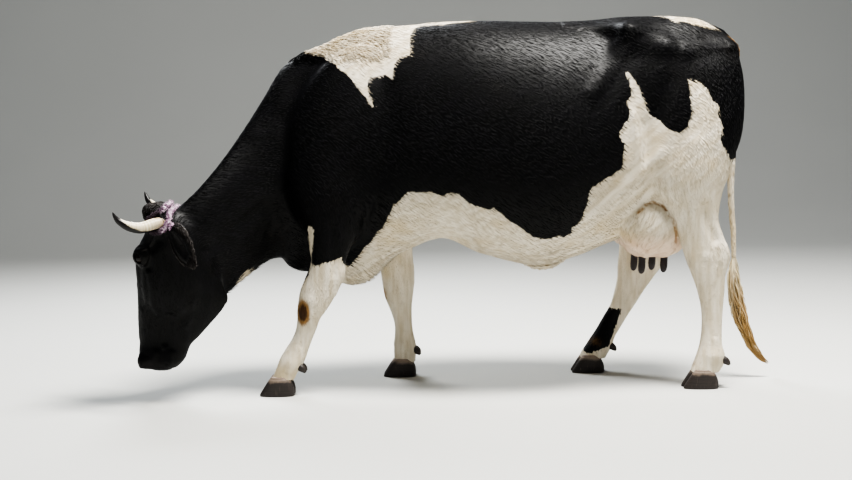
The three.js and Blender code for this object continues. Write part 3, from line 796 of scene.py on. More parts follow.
def gather(vertices, faces, size):
    """Joins the vertices that share a cube of the given size; a size of 0 leaves a vertex alone."""
    held = np.maximum(size, 1)
    keys = np.where((size > 0)[:, None], np.floor(vertices / held[:, None]), 0).astype(int)
    alone = np.where(size > 0, 0, np.arange(1, len(vertices) + 1))
    keys = np.column_stack([keys, size.astype(int), alone])
    _, index = np.unique(keys, axis=0, return_inverse=True)
    index = index.ravel()
    counts = np.bincount(index)
    vertices = np.stack([np.bincount(index, vertices[:, k]) for k in range(3)], 1) / counts[:, None]
    kept = {}
    for face in index[faces].tolist():
        corners = [c for c, after in zip(face, face[1:] + face[:1]) if c != after]
        if len(corners) < 3 or len(set(corners)) < len(corners):
            continue
        key = tuple(sorted(corners))
        if key in kept:
            del kept[key]  # two faces back to back close on each other
        else:
            kept[key] = corners
    return vertices, list(kept.values())


def relax(vertices, faces, share=0.5):
    """Draws each vertex towards the middle of its neighbours."""
    edges = np.array([(a, b) for face in faces for a, b in zip(face, face[1:] + face[:1])])
    total = np.stack([np.bincount(edges[:, 0], vertices[edges[:, 1], k], len(vertices)) for k in range(3)], 1)
    count = np.bincount(edges[:, 0], minlength=len(vertices))[:, None]
    middle = np.where(count > 0, total / np.maximum(count, 1), vertices)
    return vertices + share * (middle - vertices)


def hide_axes():
    """The grid's lines: finer steps at the head and ears and from the udder down, coarser on the trunk."""
    return (
        spaced(-1180, (-880, 4.6), (1420, 7.4)),
        spaced(-575, (-270, 5), (400, 7.4)),
        spaced(20, (90, 5), (220, 4.6), (520, 5.2), (620, 4), (800, 5.2), (1500, 7.4)),
    )


def hide_surface():
    """The hide as a mesh. Size is the cube in which vertices are joined; the head keeps all of its own."""
    axes = hide_axes()
    vertices, faces = surface_net(measure(GROUPS, Grid(axes)), axes)
    x, z = vertices[:, 0], vertices[:, 2]
    size = np.where(x < -890, 0.0, np.where(z < 640, 9.0, np.where(x < -560, 12.0, 15.0)))
    size[(x > -560) & (x < 640) & (z > 470) & (z < 640)] = 15.0
    size[x > 1150] = np.minimum(size[x > 1150], 11)
    vertices, faces = gather(vertices, faces, size)
    vertices = settle(GROUPS, relax(vertices, faces), rounds=2)
    return vertices, faces


def to_frame(places):
    """Millimetres of the cow's drawing as metres of the frame."""
    return (np.asarray(places, float) - FOOTPRINT_CENTRE) / 1000


def mesh_object(name, vertices, faces, normals=None):
    """A piece with smooth faces; its vertices are in the frame's metres."""
    mesh = bpy.data.meshes.new(name)
    mesh.from_pydata(np.asarray(vertices, float).tolist(), [], faces)
    mesh.validate()
    mesh.shade_smooth()
    if normals is not None:
        mesh.normals_split_custom_set_from_vertices(normals.tolist())
    piece = bpy.data.objects.new(name, mesh)
    bpy.context.scene.collection.objects.link(piece)
    return piece


MERGE_WIDTH = 10  # millimetres over which one part of the body passes into the next
hide_vertices, hide_faces = hide_surface()
hide_normals = slope_of(GROUPS, hide_vertices)
hide_normals /= np.linalg.norm(hide_normals, axis=1)[:, None]
nearest = np.stack([measure([group], Places(hide_vertices)) for group in GROUPS])
nearness = np.exp(-(nearest - nearest.min(0)) / MERGE_WIDTH)
nearness = dict(zip(GROUP, nearness / nearness.sum(0)))

# ---------- markings ----------

# Outlines of the white hair on each side, as seen square from that side at 5.3 m. All else is black.
NEAR_WHITE = {
    "withers": [
        (-520, 1560), (-495, 1350), (-455, 1345), (-415, 1335), (-385, 1320), (-355, 1300), (-330, 1275),
        (-295, 1250), (-275, 1220), (-255, 1190), (-235, 1165), (-220, 1135), (-210, 1120), (-200, 1140),
        (-215, 1175), (-225, 1205), (-225, 1235), (-215, 1250), (-185, 1255), (-155, 1260), (-135, 1245),
        (-120, 1240), (-120, 1280), (-110, 1310), (-85, 1330), (-50, 1340), (-45, 1420), (-30, 1445),
        (0, 1455), (70, 1456), (110, 1460), (175, 1465), (225, 1475), (225, 1560),
    ],
    "underside": [
        (-720, -60), (-700, 250), (-530, 400), (-486, 455), (-476, 505), (-455, 495), (-435, 500),
        (-415, 510), (-395, 505), (-375, 520), (-355, 525), (-340, 545), (-345, 505), (-325, 490),
        (-312, 492), (-290, 520), (-260, 560), (-235, 580), (-210, 615), (-175, 650), (-160, 675),
        (-150, 700), (-130, 740), (-105, 755), (-80, 785), (-55, 795), (-35, 785), (10, 790), (40, 785),
        (65, 770), (95, 780), (110, 790), (140, 775), (175, 745), (225, 720), (265, 710), (275, 725),
        (305, 700), (325, 680), (375, 645), (405, 625), (435, 600), (465, 590), (505, 585), (550, 605),
        (560, 595), (590, 605), (595, 630), (620, 650), (640, 680), (650, 710), (660, 740), (670, 770),
        (670, 790), (700, 805), (745, 835), (785, 860), (805, 880), (805, 910), (810, 970), (790, 990),
        (795, 1025), (810, 1045), (830, 1070), (830, 1105), (815, 1135), (835, 1150), (840, 1185),
        (830, 1215), (820, 1245), (815, 1278), (840, 1250), (860, 1225), (880, 1190), (890, 1150),
        (905, 1110), (920, 1085), (945, 1070), (965, 1055), (990, 1030), (1020, 1020), (1040, 1010),
        (1055, 1020), (1070, 1040), (1085, 1090), (1080, 1140), (1075, 1180), (1070, 1215), (1060, 1235),
        (1080, 1225), (1110, 1220), (1135, 1205), (1155, 1180), (1170, 1150), (1200, 1115), (1200, 1075),
        (1215, 1035), (1215, 1005), (1205, 985), (1220, 955), (1245, 900), (1400, 900), (1400, -60),
    ],
    "rump": [
        (900, 1560), (905, 1486), (920, 1480), (960, 1475), (995, 1465), (1020, 1450), (1055, 1455),
        (1080, 1445), (1120, 1435), (1165, 1425), (1195, 1420), (1240, 1405), (1300, 1420), (1300, 1560),
    ],
    "throat": [(-726, 488), (-758, 465), (-787, 424), (-803, 392), (-812, 357), (-790, 320), (-697, 418)],
    "chest": [
        (-484, 660), (-474, 664), (-455, 640), (-457, 590), (-466, 545), (-468, 500), (-476, 545), (-484, 600)
    ],
}
FAR_WHITE = {
    "withers": [
        (-520, 1560), (-500, 1350), (-470, 1290), (-430, 1235), (-380, 1210), (-345, 1140), (-300, 1085),
        (-262, 1100), (-225, 1180), (-150, 1225), (-95, 1235), (-60, 1300), (-20, 1370), (40, 1395),
        (120, 1425), (225, 1475), (225, 1560),
    ],
    "underside": [
        (-720, -60), (-700, 250), (-530, 400), (-440, 470), (-345, 520), (-270, 560), (-225, 620),
        (-160, 662), (-95, 640), (-30, 690), (30, 722), (95, 765), (180, 772), (255, 742), (330, 700),
        (420, 690), (500, 648), (580, 640), (650, 684), (700, 742), (738, 805), (760, 880), (802, 945),
        (850, 1000), (900, 1042), (960, 1060), (1030, 1042), (1090, 1085), (1130, 1150), (1180, 1168),
        (1220, 1110), (1235, 1000), (1245, 900), (1400, 900), (1400, -60),
    ],
    "rump": [
        (900, 1560), (905, 1470), (930, 1420), (962, 1378), (1000, 1350), (1050, 1338), (1090, 1368),
        (1130, 1392), (1180, 1400), (1240, 1405), (1300, 1420), (1300, 1560),
    ],
}
CANNON_BLACK = [
    (795, 245), (765, 195), (718, 152), (690, 118), (668, 96), (640, 70), (700, 60), (790, 90), (850, 245),
]
VIEW_DISTANCE, VIEW_HEIGHT = 5300, 966
TAIL_BLACK_ABOVE = 905
WHITE_RANGE = 150  # millimetres on either side of a border that are kept apart


def inside_outline(points, outline):
    """Signed distance from points to a closed outline, positive inside."""
    outline = np.array(outline, float)
    x, z = points.T
    gap = np.full(len(points), 1e9)
    inside = np.zeros(len(points), bool)
    for p, q in zip(outline, np.roll(outline, -1, axis=0)):
        step = q - p
        share = np.clip((points - p) @ step / (step @ step), 0, 1)
        gap = np.minimum(gap, np.linalg.norm(points - p - share[:, None] * step, axis=1))
        if p[1] != q[1]:
            inside ^= ((p[1] > z) != (q[1] > z)) & (x < p[0] + (q[0] - p[0]) * (z - p[1]) / (q[1] - p[1]))
    return np.where(inside, gap, -gap)


def seen_from_side(places):
    scale = VIEW_DISTANCE / (VIEW_DISTANCE - np.abs(places[:, 1]))
    return np.stack([places[:, 0] * scale, VIEW_HEIGHT + (places[:, 2] - VIEW_HEIGHT) * scale], 1)


def ease(value, low, high):
    share = np.clip((value - low) / (high - low), 0, 1)
    return share * share * (3 - 2 * share)


def white_of(places, near):
    """How far inside the white a place lies, in millimetres."""
    points = seen_from_side(places)
    sides = [
        np.max([inside_outline(points, outline) for outline in outlines.values()], axis=0)
        for outlines in (NEAR_WHITE, FAR_WHITE)
    ]
    far = ease(places[:, 1], -30, 30)
    white = sides[0] * (1 - far) + sides[1] * far
    patch = -inside_outline(points, CANNON_BLACK)
    white = np.where(near["right_hind"] > 0.5, np.minimum(white, patch), white)
    white = np.where(near["tail"] > 0.5, TAIL_BLACK_ABOVE - places[:, 2], white)
    black = near["head"] + near["left_ear"] + near["right_ear"]
    return np.clip(white - 200 * black, -WHITE_RANGE, WHITE_RANGE)


def spots(places, rows):
    """Soft spots, each [x, y, z, radius along x, y, z, strength]."""
    total = np.zeros(len(places))
    for *centre, rx, ry, rz, strength in rows:
        total += strength * np.exp(-(((places - centre) / (rx, ry, rz)) ** 2).sum(1))
    return np.clip(total, 0, 1)


# Brown hair, rubbed patches and stains; the spot in the crease of the flank is painted shade with some brown.
BROWN_AND_CREASE_SHADE = [
    (-486, -262, 332, 22, 70, 42, 1.7),  # knees, rubbed brown where the cow kneels
    (-188, 185, 345, 20, 50, 40, 0.9),
    (1240, 0, 1350, 45, 80, 40, 0.9),  # ginger at the root of the tail
    # painted shade, with some brown, in the crease of the flank
    (915, -215, 825, 26, 60, 24, 0.6),  # crease of the flank
    (-450, -40, 1360, 60, 60, 34, 0.3),  # crest of the withers
    (720, 203, 130, 40, 60, 30, 0.5),
    (1040, -205, 95, 30, 60, 18, 0.4),
]
GREY = [
    (*in_head((0, 6, -5))[0], 50, 66, 42, 0.7),  # poll
    (*in_head((125, -150, 120))[0], 40, 40, 80, 0.2),
    # painted highlight: a grey touch along the lit edge of the near brow
    (*in_head((84, 10, 120))[0], 30, 24, 50, 0.35),
]
BARE = [
    (*in_head((0, 20, 632))[0], 66, 95, 38, 1.4),  # muzzle
    (*in_head((88, 34, 180))[0], 17, 17, 21, 1.2),  # rims of the eyes
    (*in_head((-88, 34, 180))[0], 17, 17, 21, 1.2),
]


def set_attribute(piece, name, values, kind="FLOAT", domain="POINT"):
    values = np.asarray(values, np.float32)
    made = piece.data.attributes.new(name, kind, domain)
    made.data.foreach_set("vector" if values.ndim == 2 else "value", values.ravel())


def lie_of(places, near):
    """Which way the hair lies."""
    legs = sum(near[name] for name in LEGS) * ease(places[:, 2], 1050, 820)
    head = near["head"]
    along = (places - POLL) @ HEAD[2]
    neck = ease(places[:, 0], -480, -620) * (1 - head)
    face = np.where(along[:, None] > 150, HEAD[2] - 0.2 * HEAD[1], -HEAD[2] - 0.3 * HEAD[1])
    trunk = np.array([0.8, 0.0, -0.62])
    rump = ease(places[:, 0], 950, 1200)[:, None]
    trunk = trunk * (1 - rump) + np.array([0.3, 0, -0.95]) * rump
    lie = trunk * (1 - neck[:, None]) + np.array([0.78, 0.32, 0.12]) * neck[:, None]
    for weight, way in (
        (legs, np.array([0.15, 0, -1.0])),
        (near["udder"], np.array([-0.4, 0, -0.8])),
        (near["tail"], np.array([0.05, 0, -1.0])),
        (head, face),
        *((near[side + "_ear"], ear_frame(side)[0][2]) for side in SIDES),
    ):
        lie = lie * (1 - weight[:, None]) + way * weight[:, None]
    lie -= hide_normals * (lie * hide_normals).sum(1)[:, None]
    return lie / np.maximum(np.linalg.norm(lie, axis=1), 1e-6)[:, None]


def ear_rim(side):
    """How near the rim or the tip of an ear a place of the hide lies."""
    axes, root = ear_frame(side)
    across, _, along = axes @ (hide_vertices - root).T
    table = smooth_rows(EAR)
    share = np.abs(across) / np.interp(along, table[:, 0], table[:, 5])
    return nearness[side + "_ear"] * np.maximum(ease(share, 0.72, 0.95), ease(along, 140, 175))


# painted shade with some brown stain along the fold where the udder meets the thigh, seen from the left
UDDER_FOLD = [(833, 0, 699), (856, 0, 722), (891, 0, 738), (930, 0, 722), (973, 0, 660), (993, 0, 570)]
from_fold = cable(UDDER_FOLD, 0.0)[0](hide_vertices[:, 0], 0 * hide_vertices[:, 1], hide_vertices[:, 2])
fold_shade_and_stain = 0.55 * np.exp(-((from_fold / 9) ** 2)) * ease(-hide_vertices[:, 1], 100, 160)
# the ears' rims and tips, where grey is painted rim light on the fringe hair
rims = ear_rim("left") + ear_rim("right")
hide = mesh_object("hide", to_frame(hide_vertices), hide_faces, hide_normals)
udder_bare = 0.55 * ease(nearness["udder"], 0.4, 0.8) * ease(hide_vertices[:, 2], 640, 540)
markings = {
    "white": white_of(hide_vertices, nearness),
    "rust": np.clip(spots(hide_vertices, BROWN_AND_CREASE_SHADE) + fold_shade_and_stain, 0, 1.6),
    # grey: grey hair at the poll, with a painted highlight on the near brow and painted rim light on the ears
    "grey": np.clip(spots(hide_vertices, GREY) + 0.9 * rims, 0, 1),
    "bare": np.clip(spots(hide_vertices, BARE) + udder_bare, 0, 1),
    "leg": sum(nearness[name] for name in LEGS) * ease(hide_vertices[:, 2], 900, 700),
    "face": nearness["head"],
    "neck": ease(hide_vertices[:, 0], -480, -620) * (1 - nearness["head"]),
}
for name, values in markings.items():
    set_attribute(hide, name, values)

# ---------- materials ----------


def colour(code):
    """An sRGB hex colour, turned to linear."""
    parts = [int(code[i : i + 2], 16) / 255 for i in (1, 3, 5)]
    return (*(c / 12.92 if c <= 0.04045 else ((c + 0.055) / 1.055) ** 2.4 for c in parts), 1.0)


# Nodes that are used often, by a short name: the node and what is set on it, the sockets that values go to in
# order, and the output that is taken. A sum is the first value plus the second times the third.
USUAL = {
    "mix": ("ShaderNodeMix", {"data_type": "RGBA"}, ("Factor", 6, 7), 2),
    "sum": ("ShaderNodeMath", {"operation": "MULTIPLY_ADD"}, (2, 0, 1), 0),
    "step": (
        "ShaderNodeMapRange",
        {"interpolation_type": "SMOOTHSTEP"},
        ("Value", "From Min", "From Max"),
        0,
    ),
    "mark": ("ShaderNodeAttribute", {}, (), "Fac"),
    "place": ("ShaderNodeTexCoord", {}, (), "Object"),
    "noise": ("ShaderNodeTexNoise", {}, ("Vector", "Scale", "Detail"), "Fac"),
    "bump": ("ShaderNodeBump", {}, ("Height", "Strength", "Distance"), 0),
}


def add(tree, kind, *values, **settings):
    """Adds a node. Settings are its properties. Values go to its sockets, in order for a usual node and by
    name in a dict for any other: a socket is linked and a hex code is turned to a colour."""
    kind, usual, sockets, taken = USUAL.get(kind, (kind, {}, None, None))
    made = tree.nodes.new(kind)
    for name, value in {**usual, **settings}.items():
        setattr(made, name, value)
    inputs = dict(*values) if sockets is None else dict(zip(sockets, values))
    for key, value in inputs.items():
        if isinstance(value, bpy.types.NodeSocket):
            tree.links.new(value, made.inputs[key])
        else:
            is_colour = isinstance(value, str) and value.startswith("#")
            made.inputs[key].default_value = colour(value) if is_colour else value
    return made if taken is None else made.outputs[taken]


def new_material(name, finish):
    """A material whose Principled shader takes the finish: socket names and their values."""
    material = bpy.data.materials.new(name)
    material.use_nodes = True
    tree = material.node_tree
    shader = tree.nodes["Principled BSDF"]
    for key, value in finish.items():
        shader.inputs[key].default_value = value
    return material, tree, shader


def streaks(tree, place, turn, along, across, detail=2.0):
    """Noise drawn out along a direction; along and across are the sizes of a lock, in metres."""
    turned = add(
        tree, "ShaderNodeVectorRotate", {"Vector": place, "Rotation": turn}, rotation_type="EULER_XYZ"
    )
    sized = add(tree, "ShaderNodeVectorMath",
                {0: turned.outputs[0], 1: (1 / along, 1 / across, 1 / across)}, operation="MULTIPLY")
    return add(tree, "noise", sized.outputs[0], 1.0, detail)


def coat_material(name, bump):
    """Short cattle hair, lying flat: a soft sheen along its streaks, deep black, or cream and straw."""
    material, tree, shader = new_material(name, {
        "Roughness": 0.5,
        "Specular IOR Level": 0.22,
        "Sheen Weight": 0.03,
        "Sheen Roughness": 0.35,
        "Sheen Tint": colour("#b9b2c4"),
    })
    place = add(tree, "place")
    leg, face, neck = (add(tree, "mark", attribute_name=name) for name in ("leg", "face", "neck"))
    # the streaks follow the lie of the hair: down and back on the ribs, along the neck, down legs and face
    lay = {}
    for size, along, across in (("fine", 0.04, 0.0045), ("broad", 0.16, 0.022)):
        body = streaks(tree, place, (0, math.radians(38), 0), along, across)
        for weight, turn in (
            (neck, (0, math.radians(-8), math.radians(-20))),
            (leg, (0, math.radians(90), 0)),
            (face, (0, math.radians(86), 0)),
        ):
            other = streaks(tree, place, turn, along, across)
            body = add(
                tree, "ShaderNodeMix", {"Factor": weight, 2: body, 3: other}, data_type="FLOAT"
            ).outputs[0]
        lay[size] = body
    waves = add(tree, "noise", place, 30.0, 3.0)
    clouds = add(tree, "noise", place, 6.0, 2.0)
    # the border of a patch wanders by centimetres, and hairs of each colour cross it by millimetres
    white = add(tree, "sum", add(tree, "mark", attribute_name="white"), waves, 14.0)
    white = add(tree, "sum", white, lay["fine"], 16.0)
    white = add(tree, "step", white, 13.5, 17.0)
    black = add(tree, "mix", add(tree, "step", lay["broad"], 0.35, 0.7), "#020202", "#08070a")
    black = add(tree, "mix", add(tree, "step", clouds, 0.55, 0.8), black, "#0b0908")
    # the grey mark: grey hair at the poll, and a painted highlight and rim light on the near brow and the
    # ears
    black = add(tree, "mix", add(tree, "mark", attribute_name="grey"), black, "#4a4542")
    cream = add(tree, "mix", add(tree, "step", lay["broad"], 0.3, 0.7), "#cdc1aa", "#e2d9c8")
    cream = add(tree, "mix", add(tree, "step", clouds, 0.5, 0.85), cream, "#cbb993")
    hair = add(tree, "mix", white, black, cream)
    # brown hair and stains, and painted shade in the creases of the flank and the udder
    rust = add(tree, "sum", add(tree, "mark", attribute_name="rust"), lay["fine"], 0.3)
    hair = add(tree, "mix", add(tree, "step", rust, 0.3, 0.75), hair, "#927046")
    hair = add(tree, "mix", add(tree, "step", rust, 0.85, 1.15), hair, "#4a3220")
    pink = add(tree, "mix", add(tree, "step", clouds, 0.35, 0.7), "#dcbda4", "#cfa48c")
    skin = add(tree, "mix", white, "#1c1717", pink)
    base = add(tree, "mix", add(tree, "mark", attribute_name="bare"), hair, skin)
    tree.links.new(base, shader.inputs["Base Color"])
    rough = add(tree, "sum", 0.48, white, 0.14)  # white hair is duller than black
    tree.links.new(rough, shader.inputs["Roughness"])
    if bump:
        height = add(tree, "sum", lay["broad"], lay["fine"], 0.5)
        tree.links.new(add(tree, "bump", height, 0.45, 0.003), shader.inputs["Normal"])
    return material


hide_material = coat_material("cattle_hide", True)
hide.data.materials.append(hide_material)
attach(hide, "root")
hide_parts("trunk", "neck", "head", "left_ear", "right_ear", "left_foreleg", "right_foreleg",
            "left_fore_cannon", "right_fore_cannon", "left_gaskin", "right_gaskin", "left_hind_cannon",
            "right_hind_cannon", "udder", "tail_dock")

# ---------- turned and swept pieces ----------


def loft(rings):
    """Rings of points as a closed skin; the ends are closed to their middles."""
    rings = np.array(rings, float)
    count, around = rings.shape[:2]
    vertices = np.vstack([rings.reshape(-1, 3), rings[0].mean(0), rings[-1].mean(0)])
    faces = []
    for i in range(count - 1):
        for k in range(around):
            a, b = i * around + k, i * around + (k + 1) % around
            faces.append([a, b, b + around, a + around])
    first, last = len(vertices) - 2, len(vertices) - 1
    for k in range(around):
        after = (k + 1) % around
        faces.append([first, after, k])
        faces.append([last, (count - 1) * around + k, (count - 1) * around + after])
    return vertices, faces


def outward(vertices, faces):
    """Turns the faces round where they point inwards."""
    corners = np.array([[f[0], f[i], f[i + 1]] for f in faces for i in range(1, len(f) - 1)])
    a, b, c = (vertices[corners[:, k]] for k in range(3))
    if np.einsum("ij,ij->i", a, np.cross(b, c)).sum() < 0:
        faces = [face[::-1] for face in faces]
    return vertices, faces


def merged(parts):
    """Several lots of vertices and faces as one."""
    vertices, faces, start = [], [], 0
    for part_vertices, part_faces in parts:
        vertices.append(part_vertices)
        faces += [[c + start for c in face] for face in part_faces]
        start += len(part_vertices)
    return np.vstack(vertices), faces


def path_frames(path):
    """Two directions square to each other and to the path, carried along it without twist."""
    tangents = np.gradient(path, axis=0)
    tangents /= np.linalg.norm(tangents, axis=1)[:, None]
    normal = np.cross(tangents[0], (0.3, 0.2, 1.0))
    normals = []
    for tangent in tangents:
        normal = normal - tangent * (normal @ tangent)
        normal /= np.linalg.norm(normal)
        normals.append(normal)
    normals = np.array(normals)
    return normals, np.cross(tangents, normals)


def sweep(path, radii, around=12, shape=lambda share, angle: 1.0):
    """Rings round a path; shape gives each point's share of the radius."""
    normals, binormals = path_frames(path)
    angles = np.arange(around) * 2 * math.pi / around
    rings = []
    for i, (place, radius) in enumerate(zip(path, radii)):
        share = i / (len(path) - 1)
        reach = radius * np.array([shape(share, angle) for angle in angles])
        rings.append(
            place
            + np.outer(reach * np.cos(angles), normals[i])
            + np.outer(reach * np.sin(angles), binormals[i])
        )
    return rings


def dress(piece, material, slot, *nodes):
    """Gives a piece its material and body, and hides the nodes it stands for; slot is not used."""
    piece.data.materials.append(material)
    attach(piece, "root")
    if nodes:
        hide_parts(*nodes)
    return piece


def horn_material():
    """Horn keratin, grown in layers: waxy cream, grey-brown at the root, black at the tip, and painted shade
    underneath.
    """
    material, tree, shader = new_material("horn_keratin", {
        "Roughness": 0.4, "IOR": 1.55, "Specular IOR Level": 0.35, "Subsurface Weight": 0.06,
        "Subsurface Radius": (0.004, 0.003, 0.002), "Coat Weight": 0.05, "Coat Roughness": 0.3,
    })
    place = add(tree, "place")
    along, under = add(tree, "mark", attribute_name="along"), add(tree, "mark", attribute_name="under")
    fine = add(tree, "noise", place, 60.0, 4.0)
    growth = add(
        tree, "ShaderNodeTexNoise", {"W": along, "Scale": 55.0, "Detail": 2.0}, noise_dimensions="1D"
    )
    base = add(tree, "mix", add(tree, "step", growth.outputs["Fac"], 0.35, 0.7), "#cfc0a0", "#e6dbc2")
    root = add(tree, "step", add(tree, "sum", along, fine, 0.12), 0.3, 0.08)
    base = add(tree, "mix", root, base, "#9c8468")
    # painted shade: the side facing down and forward turns near black, more so towards the tip
    painted_shade_beneath = add(tree, "step", add(tree, "sum", add(tree, "sum", under, along, 3.3), fine, 0.4), 1.45, 1.8)
    base = add(tree, "mix", painted_shade_beneath, base, "#141010")
    base = add(tree, "mix", add(tree, "step", add(tree, "sum", along, fine, 0.1), 0.8, 0.93), base, "#14110f")
    tree.links.new(base, shader.inputs["Base Color"])
    height = add(tree, "sum", growth.outputs["Fac"], fine, 0.4)
    tree.links.new(add(tree, "bump", height, 0.35, 0.0015), shader.inputs["Normal"])
    return material


HORN_STEPS, HORN_SIDES = 72, 32
HORN_SKIN = 0.985  # the sheath lies just inside the solid
# the side of the horn that gets painted shade
HORN_SHADED_SIDE = (-0.35, 0, -0.94)  # the way its dark side faces


def horn_ridges(share, angle):
    """Growth rings that die away towards the tip, on a slightly flattened section."""
    rings = 0.022 * math.sin(share * 120) * max(0, 1 - share * 2.6)
    return 1 + rings + 0.02 * math.sin(2 * angle + share * 3)


keratin = horn_material()
for side, sign in (("left", 1), ("right", -1)):
    path = smooth_path(in_head([(sign * a, o, t) for a, o, t in HORN_PATH]), HORN_STEPS)
    share = np.linspace(0, 1, len(path))
    radii = np.interp(share * 6, range(7), HORN_RADII) * HORN_SKIN
    radii[-3:] = radii[-3:] * (0.9, 0.7, 0.35)  # rounds off the tip
    rings = sweep(path, radii, HORN_SIDES, horn_ridges)
    vertices, faces = outward(*loft(rings))
    horn = mesh_object(side + "_horn_sheath", to_frame(vertices), faces)
    # how far each point faces the side of painted shade
    toward_shade = [
        (ring - ring.mean(0)) @ HORN_SHADED_SIDE / max(np.ptp(ring, axis=0).max() / 2, 1) for ring in rings
    ]
    set_attribute(horn, "along", [*np.repeat(share, HORN_SIDES), 0, 1])
    set_attribute(horn, "under", [*np.concatenate(toward_shade), 0, 0])
    dress(horn, keratin, "horn", side + "_horn")


def hoof_material():
    """Hoof horn, worn by the ground: dull grey-brown with growth rings, paler at the hair line."""
    material, tree, shader = new_material("hoof_keratin", {"Roughness": 0.55, "IOR": 1.55})
    place = add(tree, "place")
    height = add(tree, "ShaderNodeSeparateXYZ", {0: place}).outputs["Z"]
    wander = add(tree, "noise", place, 25.0, 3.0)
    rings = add(
        tree,
        "ShaderNodeTexNoise",
        {"W": add(tree, "sum", height, wander, 0.012), "Scale": 190.0, "Detail": 1.0},
        noise_dimensions="1D",
    ).outputs["Fac"]
    grain = streaks(tree, place, (0, math.radians(90), 0), 0.05, 0.003)
    base = add(tree, "mix", rings, "#1f1a18", "#3b322d")
    pale = add(tree, "step", add(tree, "sum", height, wander, 0.03), 0.066, 0.084)
    past = add(tree, "step", height, 0.09, 0.084)  # the dew claws above stay dark
    pale = add(tree, "ShaderNodeMath", {0: pale, 1: past}, operation="MULTIPLY").outputs[0]
    base = add(tree, "mix", pale, base, "#8a7a6c")
    base = add(tree, "mix", add(tree, "step", grain, 0.62, 0.75), base, "#584b42")
    tree.links.new(base, shader.inputs["Base Color"])
    tree.links.new(
        add(tree, "bump", add(tree, "sum", rings, grain, 0.4), 0.5, 0.002), shader.inputs["Normal"]
    )
    return material


def claw_rings(foot, across):
    """One claw: a wall with growth rings, sloping to the toe, on a flat sole."""
    table = smooth_rows(CLAW, 10)
    around = 40
    angles = np.arange(around) * 2 * math.pi / around
    rings = []
    for z, rear, front, wide, _, half, rear_power, front_power in [*table[:1], *table[:1], *table[1:]]:
        share = 1.0
        if len(rings) < len(WORN_EDGE):
            z, share = WORN_EDGE[len(rings)]
        ridge = 1 + 0.008 * math.sin(z * 0.9) * ease(np.array(z), 10, 30)
        s = np.sin(angles)
        power = np.where(s >= 0, rear_power, front_power)
        reach = np.where(s >= 0, rear - wide, wide - front)
        x = wide + np.sign(s) * np.abs(s) ** (2 / power) * reach * share * ridge
        c = np.cos(angles)
        y = np.sign(c) * np.abs(c) ** (2 / power) * half * share * ridge
        # the two toes lean together in front and part at the heel
        lean = -np.sign(across) * 2.5 * (x < 0) * np.abs(x) / 70
        rings.append(
            np.stack([foot[0] + x, foot[1] + across * CLAW_SPREAD + y + lean, np.full(around, z)], 1)
        )
    return rings


def dew_rings(foot, across):
    path = smooth_path([(foot[2], foot[1] + across * 16, 118), (foot[2] + 22, foot[1] + across * 21, 108),
                        (foot[2] + 38, foot[1] + across * 24, 92)], 10)
    radii = [14, 14.4, 14.8, 15, 15, 14.6, 13.8, 12.4, 10.4, 7.8, 4.4]
    return sweep(path, radii, 20, lambda s, angle: 1 + 0.03 * math.sin(s * 26))


hoof = hoof_material()
for name, foot in FEET.items():
    outside = -1 if name.startswith("left") else 1
    for place, across in (("outer", outside), ("inner", -outside)):
        for kind, rings in (("claw", claw_rings(foot, across)), ("dew_claw", dew_rings(foot, across))):
            vertices, faces = outward(*loft(rings))
            piece = mesh_object(f"{name}_{place}_{kind}_horn", to_frame(vertices), faces)
            dress(piece, hoof, "hoof", f"{name}_{place}_{kind}")


def teat_material():
    """Bare black skin, thin and finely creased, a little greasy."""
    material, tree, shader = new_material("teat_skin", {"Roughness": 0.45, "Subsurface Weight": 0.03})
    place = add(tree, "place")
    creases = add(
        tree, "ShaderNodeTexVoronoi", {"Vector": place, "Scale": 420.0}, feature="F1"
    ).outputs["Distance"]
    mottle = add(tree, "noise", place, 90.0, 3.0)
    tree.links.new(add(tree, "mix", mottle, "#171214", "#352a2c"), shader.inputs["Base Color"])
    tree.links.new(add(tree, "bump", creases, 0.4, 0.001), shader.inputs["Normal"])
    return material


teat_skin = teat_material()
TEAT_LENGTH = 78
for name, (x, y, top) in TEATS.items():
    drop = np.linspace(0, 1, 26)
    lean = 5 * drop**2
    path = np.stack([x - lean, y + np.sign(y) * lean * 0.6, top + 12 - (TEAT_LENGTH + 12) * drop], 1)
    radii = np.interp(drop, [0, 0.15, 0.4, 0.7, 0.88, 0.96, 1], [17, 15.5, 14.5, 15, 12.5, 8.5, 3.5])
    rings = sweep(path, radii, 24, lambda s, angle: 1 + 0.02 * math.sin(s * 46 + math.sin(angle) * 1.5))
    vertices, faces = outward(*loft(rings))
    dress(mesh_object(name + "_skin", to_frame(vertices), faces), teat_skin, "teat_skin", name)


def eye_material():
    """A wet eye: deep brown round a level black pupil, and a clear hard gloss over all."""
    material, tree, shader = new_material("eye_globe", {
        "Roughness": 0.06, "IOR": 1.38, "Specular IOR Level": 0.3, "Coat Weight": 0.3, "Coat Roughness": 0.02,
    })
    off_axis, pupil = add(tree, "mark", attribute_name="off_axis"), add(tree, "mark", attribute_name="pupil")
    fibres = add(tree, "noise", add(tree, "place"), 400.0, 3.0)
    iris = add(tree, "mix", fibres, "#120906", "#26160d")
    base = add(tree, "mix", add(tree, "step", pupil, 1.1, 0.9), iris, "#030304")
    base = add(tree, "mix", add(tree, "step", off_axis, 0.66, 0.74), base, "#120c0a")
    base = add(tree, "mix", add(tree, "step", off_axis, 0.9, 0.98), base, "#33241f")
    tree.links.new(base, shader.inputs["Base Color"])
    return material


